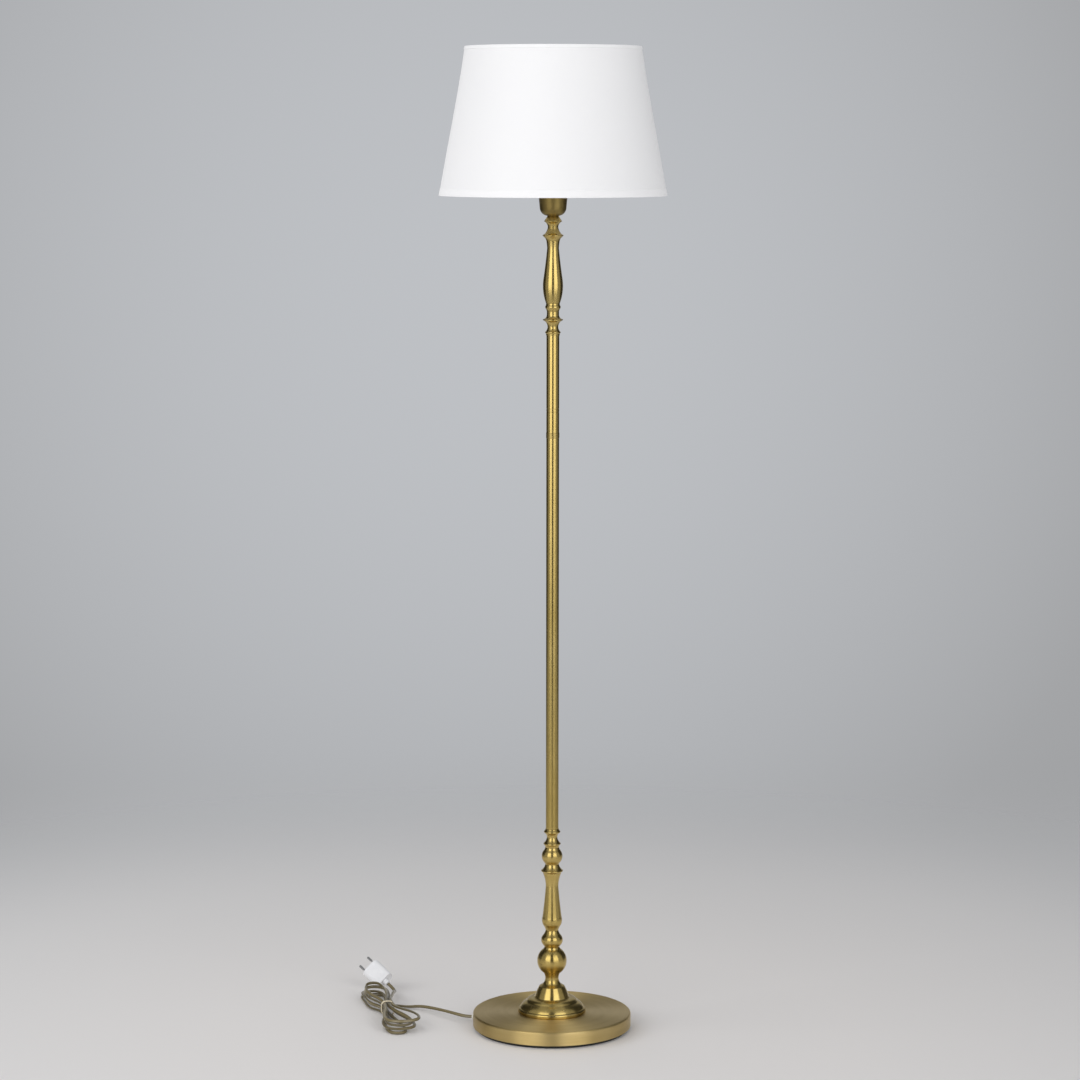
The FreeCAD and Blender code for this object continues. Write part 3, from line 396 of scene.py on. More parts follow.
def brass_plate():
    """The base: brass brushed in circles about the column, with a broader sheen."""
    f = Finish("brushed_brass_plate")
    place = f.coordinates()
    radius, angle, z = polar(f, place)
    brushing = f.noise(vector_of(f, radius * 1500.0, angle * 2.0, z * 1500.0), 4.0, 0.65)
    broad = f.noise(vector_of(f, radius * 120.0, angle * 1.2, z * 120.0), 3.0, 0.5)
    drift = f.noise(f.scaled(place, 14.0, 14.0, 14.0), 3.0, 0.5)
    tone = drift * 0.5 + broad * 0.3 + brushing * 0.2
    colour = f.node("ShaderNodeValToRGB", {"stops": [(0.36, (0.62, 0.46, 0.185)),
                                                     (0.62, (0.76, 0.59, 0.27))]}, {0: tone})
    f.set(Metallic=1.0, Base_Color=colour, Roughness=0.40 + brushing * 0.04 + drift * 0.05)
    f.set(Normal=f.bump(brushing, 0.03, 0.0001))
    brushed(f, 0.9)
    return f.material


def plated(name, light, dark, roughness):
    """Small turned or drawn metal pieces: fine grain and slight stains."""
    f = Finish(name)
    place = f.coordinates()
    fine = f.noise(f.scaled(place, 900.0, 900.0, 900.0), 3.0, 0.6)
    stain = f.noise(f.scaled(place, 110.0, 110.0, 110.0), 4.0, 0.6)
    f.set(Metallic=1.0, Base_Color=f.mix(stain, dark, light), Roughness=roughness + fine * 0.1)
    f.set(Normal=f.bump(fine, 0.08, 0.0001))
    return f.material


def cast_iron():
    f = Finish("black_cast_iron")
    place = f.coordinates()
    lumps = f.noise(f.scaled(place, 420.0, 420.0, 420.0), 6.0, 0.65)
    f.set(Base_Color=f.mix(lumps, (0.012, 0.012, 0.012), (0.035, 0.033, 0.031)), Roughness=0.55 + lumps * 0.2)
    f.set(Specular_IOR_Level=0.4, Normal=f.bump(lumps, 0.5, 0.0006))
    return f.material


def felt():
    f = Finish("black_felt")
    place = f.coordinates()
    fibres = f.noise(f.scaled(place, 1600.0, 1600.0, 700.0), 6.0, 0.75)
    tufts = f.noise(f.scaled(place, 260.0, 260.0, 260.0), 3.0, 0.5)
    f.set(Base_Color=f.mix(fibres * 0.7 + tufts * 0.3, (0.015, 0.015, 0.016), (0.06, 0.058, 0.055)),
          Roughness=0.95, Sheen_Weight=0.4, Specular_IOR_Level=0.1)
    f.set(Normal=f.bump(fibres, 0.7, 0.0008))
    return f.material


def moulded(name, light, dark, roughness, coat=0.0):
    """Moulded plastic: a faint orange-peel grain and rubbed patches."""
    f = Finish(name)
    place = f.coordinates()
    peel = f.noise(f.scaled(place, 520.0, 520.0, 520.0), 2.0, 0.5)
    rubbed = f.noise(f.scaled(place, 90.0, 90.0, 90.0), 4.0, 0.6)
    f.set(Base_Color=f.mix(rubbed, dark, light), Roughness=roughness + rubbed * 0.08 + peel * 0.04)
    f.set(Coat_Weight=coat, Coat_Roughness=0.1, Normal=f.bump(peel, 0.12, 0.0002))
    return f.material


def cloth_weave(f, uv):
    """Height of a plain weave, and how much the yarns vary, on the cloth's UV map."""
    parts = f.nodes.new("ShaderNodeSeparateXYZ")
    f.plug(parts.inputs[0], uv)
    u, v = (Wire(f, parts.outputs[i]) for i in range(2))
    warp = f.node("ShaderNodeMath", {"operation": "SINE"}, {0: u * (2 * math.pi / WEAVE_PITCH)})
    weft = f.node("ShaderNodeMath", {"operation": "SINE"}, {0: v * (2 * math.pi / WEAVE_PITCH)})
    slub_u = f.noise(vector_of(f, u * 1500.0, v * 30.0, 0.0), 2.0, 0.5)
    slub_v = f.noise(vector_of(f, u * 30.0, v * 1500.0, 3.0), 2.0, 0.5)
    height = warp * weft * 0.5 + 0.5
    return height, slub_u * 0.5 + slub_v * 0.5


def shade_cloth(name, light, dark):
    """White cotton laminated to a stiff sheet: fine plain weave with uneven yarns."""
    f = Finish(name)
    uv = f.coordinates("UV")
    height, slub = cloth_weave(f, uv)
    tone = height * 0.35 + slub * 0.65
    f.set(Base_Color=f.mix(tone, dark, light), Roughness=0.88, Specular_IOR_Level=0.25, Sheen_Weight=0.15)
    f.set(Normal=f.bump(height * 0.6 + slub * 0.8, 0.22, 0.0003))
    return f.material


def cord_sleeve():
    """Glossy olive and gold insulation of a twin cord, paler along the web between its two cores: partly the
    web's own paler plastic, partly a painted highlight along the cord.
    """
    f = Finish("olive_twin_cord")
    uv = f.coordinates("UV")
    parts = f.nodes.new("ShaderNodeSeparateXYZ")
    f.plug(parts.inputs[0], uv)
    u, v = (Wire(f, parts.outputs[i]) for i in range(2))
    around = f.node("ShaderNodeMath", {"operation": "COSINE"}, {0: u * (4 * math.pi)})
    # paler line down the middle of both flat faces: the web's own plastic without copper behind it, and a
    # painted highlight along the cord
    web = (0.5 - around * 0.5) ** 6.0
    drift = f.noise(vector_of(f, v * 18.0, u * 2.0, 0.0), 3.0, 0.5)
    strands = f.noise(vector_of(f, v * 160.0, u * 26.0, 2.0), 2.0, 0.5)
    body = f.mix(drift * 0.6 + strands * 0.4, (0.035, 0.028, 0.013), (0.22, 0.175, 0.075))
    f.set(Base_Color=f.mix(web * 0.30, body, (0.46, 0.38, 0.22)), Roughness=0.26 + drift * 0.12)
    f.set(Coat_Weight=0.5, Coat_Roughness=0.12, Normal=f.bump(strands, 0.15, 0.0002))
    return f.material


def frosted_glass():
    f = Finish("frosted_bulb_glass")
    place = f.coordinates()
    frost = f.noise(f.scaled(place, 700.0, 700.0, 700.0), 3.0, 0.6)
    f.set(Base_Color=f.mix(frost, (0.82, 0.82, 0.80), (0.93, 0.93, 0.91)), Roughness=0.3 + frost * 0.1)
    f.set(Transmission_Weight=0.08, Coat_Weight=0.3, Coat_Roughness=0.1)
    return f.material


def make_finishes():
    return {
        "brass": brass(),
        "pole": brass("satin_brass_tube", 0.22, (0.60, 0.45, 0.16), (0.48, 0.345, 0.10), 0.6),
        "dull_brass": brass("dull_brass_band", 0.32, (0.50, 0.375, 0.135), (0.40, 0.285, 0.085)),
        # the lamp holder's brass is darker and duller than the column's: painted shade from the lampshade
        # above it
        "holder_brass_painted_shade": brass("brass_holder_painted_shade", 0.44, (0.33, 0.245, 0.085), (0.20, 0.14, 0.045), 1.0, 0.4),
        "plate": brass_plate(),
        "iron": cast_iron(),
        "pad": felt(),
        "bush": moulded("pale_bush", (0.82, 0.81, 0.77), (0.70, 0.69, 0.65), 0.35),
        "steel": plated("zinc_plate", (0.62, 0.62, 0.60), (0.48, 0.48, 0.47), 0.3),
        "black_plastic": moulded("black_phenolic", (0.035, 0.034, 0.033), (0.018, 0.018, 0.018), 0.22, 0.4),
        "socket": plated("plain_aluminium", (0.74, 0.73, 0.71), (0.58, 0.57, 0.55), 0.28),
        "contact": plated("contact_brass", (0.70, 0.56, 0.30), (0.52, 0.39, 0.18), 0.3),
        "solder": plated("dull_solder", (0.55, 0.55, 0.54), (0.38, 0.38, 0.38), 0.45),
        "bulb": frosted_glass(),
        "shade": shade_cloth("white_shade_cloth", (0.88, 0.875, 0.88), (0.82, 0.815, 0.82)),
        "hem": shade_cloth("white_hem_tape", (0.90, 0.895, 0.90), (0.85, 0.845, 0.85)),
        "wire": moulded("white_wire_enamel", (0.86, 0.86, 0.84), (0.76, 0.76, 0.74), 0.3, 0.3),
        "cord": cord_sleeve(),
        "tie": moulded("cream_tie", (0.80, 0.72, 0.55), (0.66, 0.57, 0.40), 0.4),
        "plug": moulded("white_plug", (0.86, 0.86, 0.87), (0.74, 0.74, 0.76), 0.28, 0.2),
        "pins": plated("plated_pins", (0.58, 0.58, 0.58), (0.42, 0.42, 0.42), 0.28),
    }


# ---------------------------------------------------------------- camera and studio
def make_camera():
    camera = bpy.data.objects.new("camera", bpy.data.cameras.new("camera"))
    camera.data.lens = CAMERA_LENS
    camera.data.sensor_width = 36.0
    camera.data.clip_end = 60.0
    bpy.context.scene.collection.objects.link(camera)
    camera.matrix_world = (Matrix.Translation(CAMERA_PLACE) @ Matrix.Rotation(CAMERA_PITCH, 4, "X")
                           @ Matrix.Rotation(CAMERA_ROLL, 4, "Z"))
    bpy.context.scene.camera = camera


def soft_panel(name, place, aim, width, height, power, seen_in_metal=True):
    """A rectangular soft light that faces a point."""
    light = bpy.data.lights.new(name, "AREA")
    light.shape = "RECTANGLE"
    light.size = width
    light.size_y = height
    light.energy = power
    obj = bpy.data.objects.new(name, light)
    bpy.context.scene.collection.objects.link(obj)
    obj.location = place
    obj.rotation_mode = "QUATERNION"
    obj.rotation_quaternion = (Vector(aim) - Vector(place)).to_track_quat("-Z", "Y")
    obj.visible_glossy = seen_in_metal


def round_the_lamp(turn, reach, height):
    """A place round the lamp: degrees from the camera's side towards +X, distance and height."""
    return Vector((math.sin(math.radians(turn)) * reach, -math.cos(math.radians(turn)) * reach, height))


def make_lamps():
    for turn, power in ((-PANEL_TURN, PANEL_POWER * LEFT_PANEL_SHARE), (PANEL_TURN, PANEL_POWER)):
        place = round_the_lamp(turn, PANEL_REACH, PANEL_HEIGHT)
        soft_panel("front_panel", place, (0, 0, PANEL_HEIGHT), *PANEL_SIZE, power)
    for name, place, power in (("key_panel", KEY_PLACE, KEY_POWER), ("fill_panel", FILL_PLACE, FILL_POWER),
                               ("back_panel", BACK_PLACE, BACK_POWER)):
        soft_panel(name, round_the_lamp(*place), SIDE_PANEL_AIM, *SIDE_PANEL_SIZE, power, False)


def make_cards():
    """Dark cards that only the metal's reflections see, as in a product studio."""
    black = bpy.data.materials.new("dark_card")
    black.use_nodes = True
    black.node_tree.nodes["Principled BSDF"].inputs["Base Color"].default_value = (0.02, 0.02, 0.02, 1)
    for side, (first, last) in CARD_TURNS.items():
        start = round_the_lamp(first, CARD_REACH, 0)
        end = round_the_lamp(last, CARD_REACH, 0)
        middle = (start + end) / 2
        bpy.ops.mesh.primitive_plane_add(size=1.0, location=(middle.x, middle.y, CARD_HEIGHT / 2))
        card = named("dark_card_" + side, black)
        card.rotation_euler = (math.radians(90), 0, math.atan2(end.y - start.y, end.x - start.x))
        card.scale = ((end - start).length, CARD_HEIGHT, 1)
        bake_place(card)
        card.visible_camera = False
        card.visible_diffuse = False
        card.visible_shadow = False
        card.visible_transmission = False


def make_world():
    """Even light for the pieces, and a pale grey backdrop that the camera and the metal see."""
    world = bpy.data.worlds.new("studio")
    bpy.context.scene.world = world
    world.use_nodes = True
    nodes, links = world.node_tree.nodes, world.node_tree.links
    even = nodes["Background"]
    even.inputs["Color"].default_value = (*AMBIENT, 1)
    even.inputs["Strength"].default_value = 1.0
    backdrop = nodes.new("ShaderNodeBackground")
    aim = nodes.new("ShaderNodeVectorMath")
    aim.operation = "DOT_PRODUCT"
    links.new(nodes.new("ShaderNodeTexCoord").outputs["Generated"], aim.inputs[0])
    aim.inputs[1].default_value = Vector(BACKDROP_CENTRE).normalized()
    ramp = nodes.new("ShaderNodeValToRGB")
    ramp.color_ramp.elements[0].position = BACKDROP_EDGE
    ramp.color_ramp.elements[0].color = (*BACKDROP_FAR, 1)
    ramp.color_ramp.elements[1].position = 1.0
    ramp.color_ramp.elements[1].color = (*BACKDROP_NEAR, 1)
    links.new(aim.outputs["Value"], ramp.inputs[0])
    links.new(ramp.outputs[0], backdrop.inputs["Color"])
    path = nodes.new("ShaderNodeLightPath")
    seen = path.outputs["Is Camera Ray"]
    for name in ("Is Glossy Ray", "Is Transmission Ray"):
        either = nodes.new("ShaderNodeMath")
        either.operation = "MAXIMUM"
        links.new(seen, either.inputs[0])
        links.new(path.outputs[name], either.inputs[1])
        seen = either.outputs[0]
    mix = nodes.new("ShaderNodeMixShader")
    links.new(seen, mix.inputs[0])
    links.new(even.outputs[0], mix.inputs[1])
    links.new(backdrop.outputs[0], mix.inputs[2])
    links.new(mix.outputs[0], nodes["World Output"].inputs["Surface"])


def make_floor():
    """A pale floor, lighter near the lamp and darker farther out as a painted fall-off of light, that fades
    into the backdrop a little way behind the lamp.
    """
    f = Finish("pale_floor")
    radius = polar(f, f.coordinates())[0]
    stops = list(zip(FLOOR_STOPS, (FLOOR_NEAR, FLOOR_FAR)))
    # painted fall-off of light: the floor's colour darkens with distance from the lamp
    shade = f.node("ShaderNodeValToRGB", {"stops": stops}, {0: radius * (1 / FLOOR_REACH)})
    f.set(Base_Color=shade, Roughness=0.55, Specular_IOR_Level=0.2)
    fade = f.node("ShaderNodeMapRange", {"interpolation_type": "SMOOTHSTEP"},
                  {0: radius, 1: FLOOR_FADE[0], 2: FLOOR_FADE[1], 3: 0.0, 4: 1.0})
    clear = f.nodes.new("ShaderNodeBsdfTransparent")
    mix = f.nodes.new("ShaderNodeMixShader")
    f.plug(mix.inputs[0], fade)
    f.links.new(f.shader.outputs[0], mix.inputs[1])
    f.links.new(clear.outputs[0], mix.inputs[2])
    f.links.new(mix.outputs[0], f.output.inputs["Surface"])
    bpy.ops.mesh.primitive_circle_add(vertices=96, radius=FLOOR_REACH, fill_type="NGON")
    floor = named("floor", f.material)


# ---------------------------------------------------------------- cord route
def hank_point(u, v, z):
    """A place on the hank in millimetres: along it towards the front, across it, and up."""
    c, s = math.cos(HANK_TURN), math.sin(HANK_TURN)
    return Vector((HANK_CENTRE[0] + u * c - v * s, HANK_CENTRE[1] + u * s + v * c, z))


def hank_heading(u, v):
    c, s = math.cos(HANK_TURN), math.sin(HANK_TURN)
    return Vector((u * c - v * s, u * s + v * c, 0)).normalized()


def layer_z(layer):
    return CORD_RADIUS / MM + layer * HANK_LAYER


def lobe_side(end, side, inset, layer):
    width, fan = LOBE_WIDTHS[end, side]
    stray = FRONT_STRAY if end == "front" else BACK_STRAY
    return width + fan * layer - inset * HANK_STEP + stray[layer][0]


def lobe_tip(end, inset, layer):
    reach, stray = (FRONT_REACH, FRONT_STRAY) if end == "front" else (BACK_REACH, BACK_STRAY)
    return reach - HANK_SHRINK * layer - inset * HANK_STEP + stray[layer][1]


def waist_place(right, inset):
    side = (1.25 - inset) * HANK_STEP
    return side if right else -side


def hank_nodes():
    """Places and headings along the whole hank. The right strands run back, the left ones forward."""
    left_inset = 0.5
    backward = hank_heading(-1, 0)
    forward = hank_heading(1, 0)
    start_z = layer_z(0) + TIE_LIFT
    start_heading = hank_heading(*HANK_START_HEADING)
    nodes = [(hank_point(*HANK_START, start_z) - start_heading * CORD_WIDTH / MM, start_heading)]
    nodes.append((hank_point(*HANK_START, start_z), start_heading))
    nodes.append((hank_point(*HANK_SECOND, layer_z(0)), backward))
    shoulder = -(lobe_tip("back", 0, 0) - LOBE_LENGTH)
    nodes.append((hank_point(shoulder, lobe_side("back", "right", 0, 0), layer_z(0)), backward))
    right_inset = 0.0
    for layer in range(HANK_LAYERS):
        z = layer_z(layer)
        tip = -lobe_tip("back", (right_inset + left_inset) / 2, layer)
        left = -lobe_side("back", "left", left_inset, layer)
        right = lobe_side("back", "right", right_inset, layer)
        tip_z = z + HANK_BACK_LIFT * (layer / (HANK_LAYERS - 1)) ** 2
        nodes.append((hank_point(tip, (left + right) / 2, tip_z), hank_heading(0, -1)))
        nodes.append((hank_point(tip + BACK_LEFT_LOBE + BACK_LEFT_LOBE_FAN * layer, left, z), forward))
        nodes.append((hank_point(0, waist_place(False, left_inset), z + TIE_LIFT), forward))
        left = -lobe_side("front", "left", left_inset, layer)
        right_inset = (layer + 1) % 2
        right = lobe_side("front", "right", right_inset, layer)
        tip = lobe_tip("front", (right_inset + left_inset) / 2, layer)
        nodes.append((hank_point(tip - LOBE_LENGTH, left, z), forward))
        nodes.append((hank_point(tip, (left + right) / 2, z), hank_heading(0, 1)))
        nodes.append((hank_point(tip - LOBE_LENGTH, right, z), backward))
        climb = min(layer + 1, HANK_LAYERS - 1)
        middle_z = (z + layer_z(climb)) / 2 + TIE_LIFT
        nodes.append((hank_point(0, waist_place(True, right_inset), middle_z), backward))
        if climb > layer:
            right = lobe_side("back", "right", right_inset, climb)
            shoulder = -(lobe_tip("back", right_inset, climb) - LOBE_LENGTH)
            nodes.append((hank_point(shoulder, right, layer_z(climb)), backward))
    top = layer_z(HANK_LAYERS - 1)
    end_heading = hank_heading(*HANK_END_HEADING)
    nodes.append((hank_point(*HANK_END, top), end_heading))
    nodes.append((hank_point(*HANK_END, top) + end_heading * CORD_WIDTH / MM, end_heading))
    return nodes


def knees(p0, t0, p1, t1):
    """The two control points between one place and heading and the next."""
    gap = p1 - p0
    both = t0 + t1
    a = 2 * (1 - t0.dot(t1))
    b = 2 * gap.dot(both)
    c = -gap.dot(gap)
    reach = -c / b if abs(a) < 1e-9 else (-b + math.sqrt(b * b - 4 * a * c)) / (2 * a)
    return [p0 + t0 * reach, p1 - t1 * reach]


def hank_route():
    nodes = hank_nodes()
    points = [nodes[0][0]]
    for (p0, t0), (p1, t1) in zip(nodes, nodes[1:]):
        points.extend(knees(p0, t0, p1, t1))
    return points + [nodes[-1][0]]


def exit_point(distance):
    return Vector((math.cos(EXIT_TURN) * distance, math.sin(EXIT_TURN) * distance, EXIT_HEIGHT / MM))


def lead_points():
    start, heading = hank_nodes()[0]
    reach = EXIT_REACH / MM
    points = [exit_point(reach), exit_point(reach + LEAD_FIRST_RUN)]
    points += [Vector(place) for place in LEAD_ROUTE]
    return points + [start - heading * LEAD_LAST_RUN]


def tail_points():
    end, heading = hank_nodes()[-1]
    plug_end = (PLUG_CENTRE - PLUG_AXIS * (PLUG_LENGTH / 2 + PLUG_COLLAR)) / MM
    points = [end + heading * TAIL_FIRST_RUN]
    points += [hank_point(*place) for place in TAIL_ROUTE]
    return points + [plug_end - PLUG_AXIS * TAIL_LAST_RUN, plug_end]


def cord_line():
    """Points along the cord's smooth line, read from its spline."""
    route = [p * MM for p in lead_points() + hank_route()[1:-1] + tail_points()]
    curve = bpy.data.curves.new("cord_line", "CURVE")
    curve.dimensions = "3D"
    curve.resolution_u = 14
    spline = curve.splines.new("NURBS")
    spline.points.add(len(route) - 1)
    for point, place in zip(spline.points, route):
        point.co = (*place, 1.0)
    spline.order_u = 3
    spline.use_endpoint_u = True
    holder = bpy.data.objects.new("cord_line", curve)
    bpy.context.scene.collection.objects.link(holder)
    mesh = bpy.data.meshes.new_from_object(holder)
    line = [v.co.copy() for v in mesh.vertices]
    bpy.data.objects.remove(holder)
    bpy.data.curves.remove(curve)
    bpy.data.meshes.remove(mesh)
    return line


def even_points(line, step):
    """The same line with points a steady step apart."""
    kept = [line[0]]
    for point in line[1:-1]:
        if (point - kept[-1]).length >= step:
            kept.append(point)
    kept.append(line[-1])
    return kept


def turning_frames(line, start_up):
    """A direction across the line at every point, carried along it without twisting."""
    tangents = []
    for i in range(len(line)):
        tangents.append((line[min(i + 1, len(line) - 1)] - line[max(i - 1, 0)]).normalized())
    up = (start_up - tangents[0] * start_up.dot(tangents[0])).normalized()
    ups = [up]
    for before, after in zip(tangents, tangents[1:]):
        up = before.rotation_difference(after) @ up
        up = (up - after * up.dot(after)).normalized()
        ups.append(up)
    return tangents, ups


def twin_section(count):
    """Points round a flat twin cord: two round cores with a shallow web between them."""
    core = CORD_THICKNESS / 2
    offset = CORD_WIDTH / 2 - core
    points = []
    for k in range(count):
        turn = 2 * math.pi * k / count
        x = math.copysign(offset, math.cos(turn)) * min(1.0, abs(math.cos(turn)) * 2.2)
        waist = 1.0 - WEB_DEPTH * max(0.0, 1.0 - abs(math.cos(turn)) * 2.6)
        points.append((x + core * math.cos(turn), core * math.sin(turn) * waist))
    return points


def tube_mesh(name, line, section, roll_of):
    """A mesh tube with a given section along a line, with a UV map: round it, and metres along it."""
    tangents, ups = turning_frames(line, Vector((0, 0, 1)))
    verts, faces, uvs = [], [], []
    travelled = [0.0]
    for a, b in zip(line, line[1:]):
        travelled.append(travelled[-1] + (b - a).length)
    count = len(section)
    for place, tangent, up, s in zip(line, tangents, ups, travelled):
        side = tangent.cross(up)
        c, w = math.cos(roll_of(s)), math.sin(roll_of(s))
        for x, y in section:
            verts.append(place + side * (x * c - y * w) + up * (x * w + y * c))
    for i in range(len(line) - 1):
        for k in range(count):
            n = (k + 1) % count
            faces.append((i * count + k, i * count + n, (i + 1) * count + n, (i + 1) * count + k))
            uvs.append(((k / count, travelled[i]), ((k + 1) / count, travelled[i]),
                        ((k + 1) / count, travelled[i + 1]), (k / count, travelled[i + 1])))
    last = (len(line) - 1) * count
    faces.append(tuple(range(count - 1, -1, -1)))
    faces.append(tuple(last + k for k in range(count)))
    mesh = bpy.data.meshes.new(name)
    mesh.from_pydata(verts, [], faces)
    layer = mesh.uv_layers.new(name="UVMap")
    for face, corners in zip(mesh.polygons, uvs):
        for loop, uv in zip(face.loop_indices, corners):
            layer.data[loop].uv = uv
    obj = bpy.data.objects.new(name, mesh)
    bpy.context.scene.collection.objects.link(obj)
    return obj


def cord_roll(s):
    """The cord's roll about its own line, at a distance along it."""
    return sum(size * math.sin(s * pace + start) for size, pace, start in CORD_ROLLS)


def make_cord(finishes):
    line = even_points(cord_line(), CORD_STEP)
    length = sum((b - a).length for a, b in zip(line, line[1:]))
    cord = tube_mesh("mains_cord", line, twin_section(16), cord_roll)
    cord.data.materials.append(finishes["cord"])
    smooth(cord, 60)
    stands_for(cord, "cord_lead")
    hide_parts("cord_hank", "cord_tail")
    return cord, line, length


# ---------------------------------------------------------------- turned brass
def section_of(obj):
    """Leaves only the outline of a turned piece, in the half plane at +X."""
    edit(obj)
    bpy.ops.mesh.select_all(action="SELECT")
    bpy.ops.mesh.bisect(plane_co=(0, 0, 0), plane_no=(0, 1, 0), use_fill=False, clear_inner=True,
                        clear_outer=True, threshold=1e-7)
    pick(obj, verts=lambda v: v.co.x < -1e-6)
    bpy.ops.mesh.delete(type="VERT")
    bpy.ops.mesh.select_all(action="SELECT")
    bpy.ops.mesh.remove_doubles(threshold=WELD)
    leave_edit()


def sharp_corner(vert):
    """True where an outline turns by more than a rounded stretch would."""
    if len(vert.link_edges) != 2:
        return False
    a, b = (edge.other_vert(vert).co - vert.co for edge in vert.link_edges)
    return a.length > 1e-7 and b.length > 1e-7 and math.pi - a.angle(b) > CORNER_TURN


def lathe(node, name, material, edge=TURNED_EDGE, steps=96, angle=30.0):
    """A turned piece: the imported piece's outline with its corners eased, spun about the column."""
    obj = copy_of(node, name)
    section_of(obj)
    edit(obj)
    bpy.ops.mesh.select_all(action="SELECT")
    bpy.ops.mesh.dissolve_limited(angle_limit=math.radians(0.4))
    pick(obj, verts=sharp_corner)
    bpy.ops.mesh.bevel(offset=edge, segments=3, profile=0.5, affect="VERTICES", clamp_overlap=True)
    bpy.ops.mesh.select_all(action="SELECT")
    bpy.ops.mesh.spin(steps=steps, angle=2 * math.pi, center=(0, 0, 0), axis=(0, 0, 1))
    bpy.ops.mesh.select_all(action="SELECT")
    bpy.ops.mesh.remove_doubles(threshold=WELD)
    bpy.ops.mesh.normals_make_consistent(inside=False)
    leave_edit()
    obj.data.materials.append(material)
    if angle:
        even_shading(obj, angle)
    return stands_for(obj, node)


def make_column(finishes):
    for node in BRASS_TURNED:
        lathe(node, node + "_brass", finishes["brass"])
    lathe("pole_lower", "pole_lower_brass", finishes["pole"], POLE_EDGE, angle=POLE_SHARP)
    lathe("pole_upper", "pole_upper_brass", finishes["pole"], POLE_EDGE, angle=POLE_SHARP)
    lathe("pole_coupler", "pole_coupler_brass", finishes["dull_brass"], COUPLER_EDGE)
    # the cup under the shade takes the darker brass, with painted shade
    lathe("holder_cup", "holder_cup_brass", finishes["holder_brass_painted_shade"], CUP_EDGE, 128)


def drill_exit(base):
    """The hole in the base's rim that the cord's bush sits in."""
    out = Vector((math.cos(EXIT_TURN), math.sin(EXIT_TURN), 0))
    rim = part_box("base_shell")[1].x
    middle = out * rim + Vector((0, 0, EXIT_HEIGHT))
    bpy.ops.mesh.primitive_cylinder_add(vertices=48, radius=EXIT_HOLE, depth=DRILL_LENGTH,
                                        location=middle, rotation=out.to_track_quat("Z", "Y").to_euler())
    drill = bpy.context.object
    apply_modifier(base, "BOOLEAN", object=drill, operation="DIFFERENCE", solver="EXACT")
    bpy.data.objects.remove(drill)


def make_base(finishes):
    base = lathe("base_shell", "base_shell_brass", finishes["plate"], BASE_EDGE, 192, angle=None)
    drill_exit(base)
    even_shading(base, 30)


def eased(node, name, material, edge, body="stand", segments=2, angle=40.0):
    """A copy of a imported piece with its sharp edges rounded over."""
    obj = copy_of(node, name)
    edit(obj)
    bpy.ops.mesh.select_all(action="SELECT")
    bpy.ops.mesh.dissolve_limited(angle_limit=math.radians(1.0))
    leave_edit()
    apply_modifier(obj, "BEVEL", width=edge, segments=segments, limit_method="ANGLE",
                   angle_limit=math.radians(angle), use_clamp_overlap=True)
    obj.data.materials.append(material)
    even_shading(obj)
    return stands_for(obj, node, body)


def make_fittings(finishes):
    """The small pieces that are seen close to: bush, clamp ring and switch knob."""
    eased("cord_bush", "cord_bush_moulded", finishes["bush"], BUSH_EDGE)
    eased("shade_ring", "shade_ring_moulded", finishes["black_plastic"], RING_EDGE, "clamp_ring")
    eased("switch_knob", "switch_knob_moulded", finishes["black_plastic"], KNOB_EDGE, "switch", 3)


# ---------------------------------------------------------------- plug and tie
def make_plug(finishes):
    return [eased(node, node + "_moulded", finishes["plug"], PLUG_EDGE, segments=4, angle=50.0)
            for node in ("plug_front_half", "plug_back_half")]


def make_tie(finishes):
    """Two wraps of a thin cream tie round the hank's waist, slightly askew."""
    low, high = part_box("cord_tie")
    middle_z = (low.z + high.z) / 2
    across = (waist_place(True, 0) + waist_place(False, 0.5)) / 2
    half_width = (waist_place(True, 0) - waist_place(False, 0.5)) / 2 + CORD_RADIUS / MM + TIE_WIRE
    half_height = (high.z - low.z) / 2 / MM - TIE_WIRE
    line = []
    for k in range(2 * TIE_STEPS + 1):
        turn = 2 * math.pi * k / TIE_STEPS + TIE_START
        c, w = math.cos(turn), math.sin(turn)
        v = across + half_width * math.copysign(abs(c) ** TIE_ROUNDNESS, c)
        z = middle_z / MM + half_height * math.copysign(abs(w) ** TIE_ROUNDNESS, w)
        u = TIE_SKEW * c + TIE_PITCH * (k / TIE_STEPS - 1.0)
        line.append(hank_point(u, v, z) * MM)
    width = TIE_WIRE * MM * TIE_WIDTH_SHARE
    thickness = TIE_WIRE * MM * TIE_THICKNESS_SHARE
    section = [(width * math.cos(a), thickness * math.sin(a))
               for a in (2 * math.pi * k / 10 for k in range(10))]
    tie = tube_mesh("cord_tie_wraps", line, section, lambda s: 0.0)
    tie.data.materials.append(finishes["tie"])
    smooth(tie, 60)
    return stands_for(tie, "cord_tie")


# ---------------------------------------------------------------- shade
def cone_uv(obj):
    """The weave's map: the angle round the cloth and its height, both times the same mean radius."""
    mesh = obj.data
    layer = mesh.uv_layers.new(name="UVMap")
    for face in mesh.polygons:
        centre = math.atan2(face.center.y, face.center.x)
        for loop in face.loop_indices:
            place = mesh.vertices[mesh.loops[loop].vertex_index].co
            angle = math.atan2(place.y, place.x)
            if angle - centre > math.pi:
                angle -= 2 * math.pi
            elif centre - angle > math.pi:
                angle += 2 * math.pi
            layer.data[loop].uv = (angle * WEAVE_RADIUS, place.z * WEAVE_RADIUS)
    mesh.update()


def shade_radius(z):
    low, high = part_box("shade_cover")
    share = (z - low.z) / (high.z - low.z)
    return high.x + (SHADE_TOP_RADIUS - high.x) * share


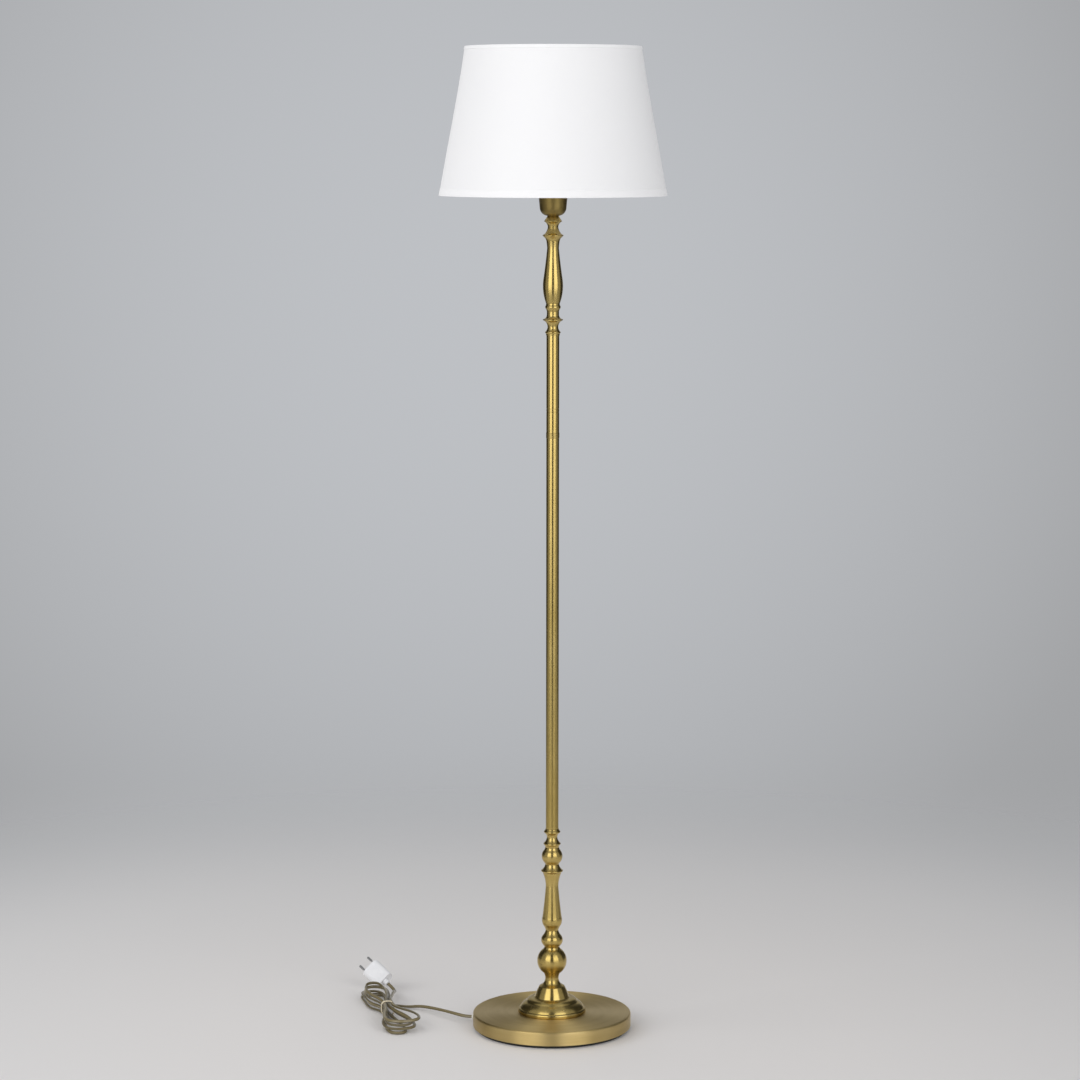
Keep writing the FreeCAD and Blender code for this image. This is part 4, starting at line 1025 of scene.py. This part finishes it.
def cloth_cone(name, z0, z1, proud, thickness, rings, material, pull=0.0):
    """A band of the shade's cloth between two heights, with its thickness inward."""
    depth = z1 - z0
    bpy.ops.mesh.primitive_cone_add(vertices=160, radius1=shade_radius(z0) + proud, end_fill_type="NOTHING",
                                    radius2=shade_radius(z1) + proud, depth=depth,
                                    location=(0, 0, (z0 + z1) / 2))
    band = named(name, material)
    bake_place(band)
    edit(band)
    pick(band, edges=lambda e: abs(e.verts[0].co.z - e.verts[1].co.z) > 0.5 * depth)
    bpy.ops.mesh.subdivide_edgering(number_cuts=rings)
    leave_edit()
    for vert in band.data.vertices:
        share = (vert.co.z - z0) / depth
        drawn = pull * math.sin(math.pi * share)
        scale = 1 - drawn / math.hypot(vert.co.x, vert.co.y)
        vert.co.x *= scale
        vert.co.y *= scale
    apply_modifier(band, "SOLIDIFY", thickness=thickness, offset=-1.0, use_even_offset=True)
    apply_modifier(band, "BEVEL", width=thickness * 0.3, segments=2, limit_method="ANGLE",
                   angle_limit=math.radians(60))
    cone_uv(band)
    smooth(band, 40)
    return band


def make_shade(finishes):
    low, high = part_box("shade_cover")
    cover = cloth_cone("shade_cloth", low.z, high.z, CLOTH_PROUD, CLOTH_THICKNESS, CLOTH_RINGS,
                       finishes["shade"], CLOTH_DRAWN_IN)
    stands_for(cover, "shade_cover", "shade")
    for name, z0, z1 in (("shade_hem_low", low.z, low.z + HEM_LOW),
                         ("shade_hem_top", high.z - HEM_TOP, high.z)):
        hem = cloth_cone(name, z0, z1, HEM_PROUD, HEM_THICKNESS, HEM_RINGS, finishes["hem"])
        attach(hem, "shade")


def finish_packed_pieces(finishes):
    """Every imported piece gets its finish, and smooth shading where it is round."""
    # the holder's shell takes the same darker brass, with painted shade
    special = {"holder_shell": "holder_brass_painted_shade"}
    for part in frame["record"]["subparts"]:
        obj = frame["nodes"][part["node"]]
        obj.data.materials.clear()
        obj.data.materials.append(finishes[special.get(part["node"], part["material_slot"])])
        if not obj.hide_render:
            smooth(obj, 30)


def main():
    make_camera()
    finishes = make_finishes()
    cord, line, length = make_cord(finishes)
    halves = make_plug(finishes)
    tie = make_tie(finishes)
    make_base(finishes)
    make_column(finishes)
    make_fittings(finishes)
    make_shade(finishes)
    finish_packed_pieces(finishes)
    make_world()
    make_lamps()
    make_cards()
    make_floor()
    bpy.context.scene.view_settings.view_transform = "Standard"


main()
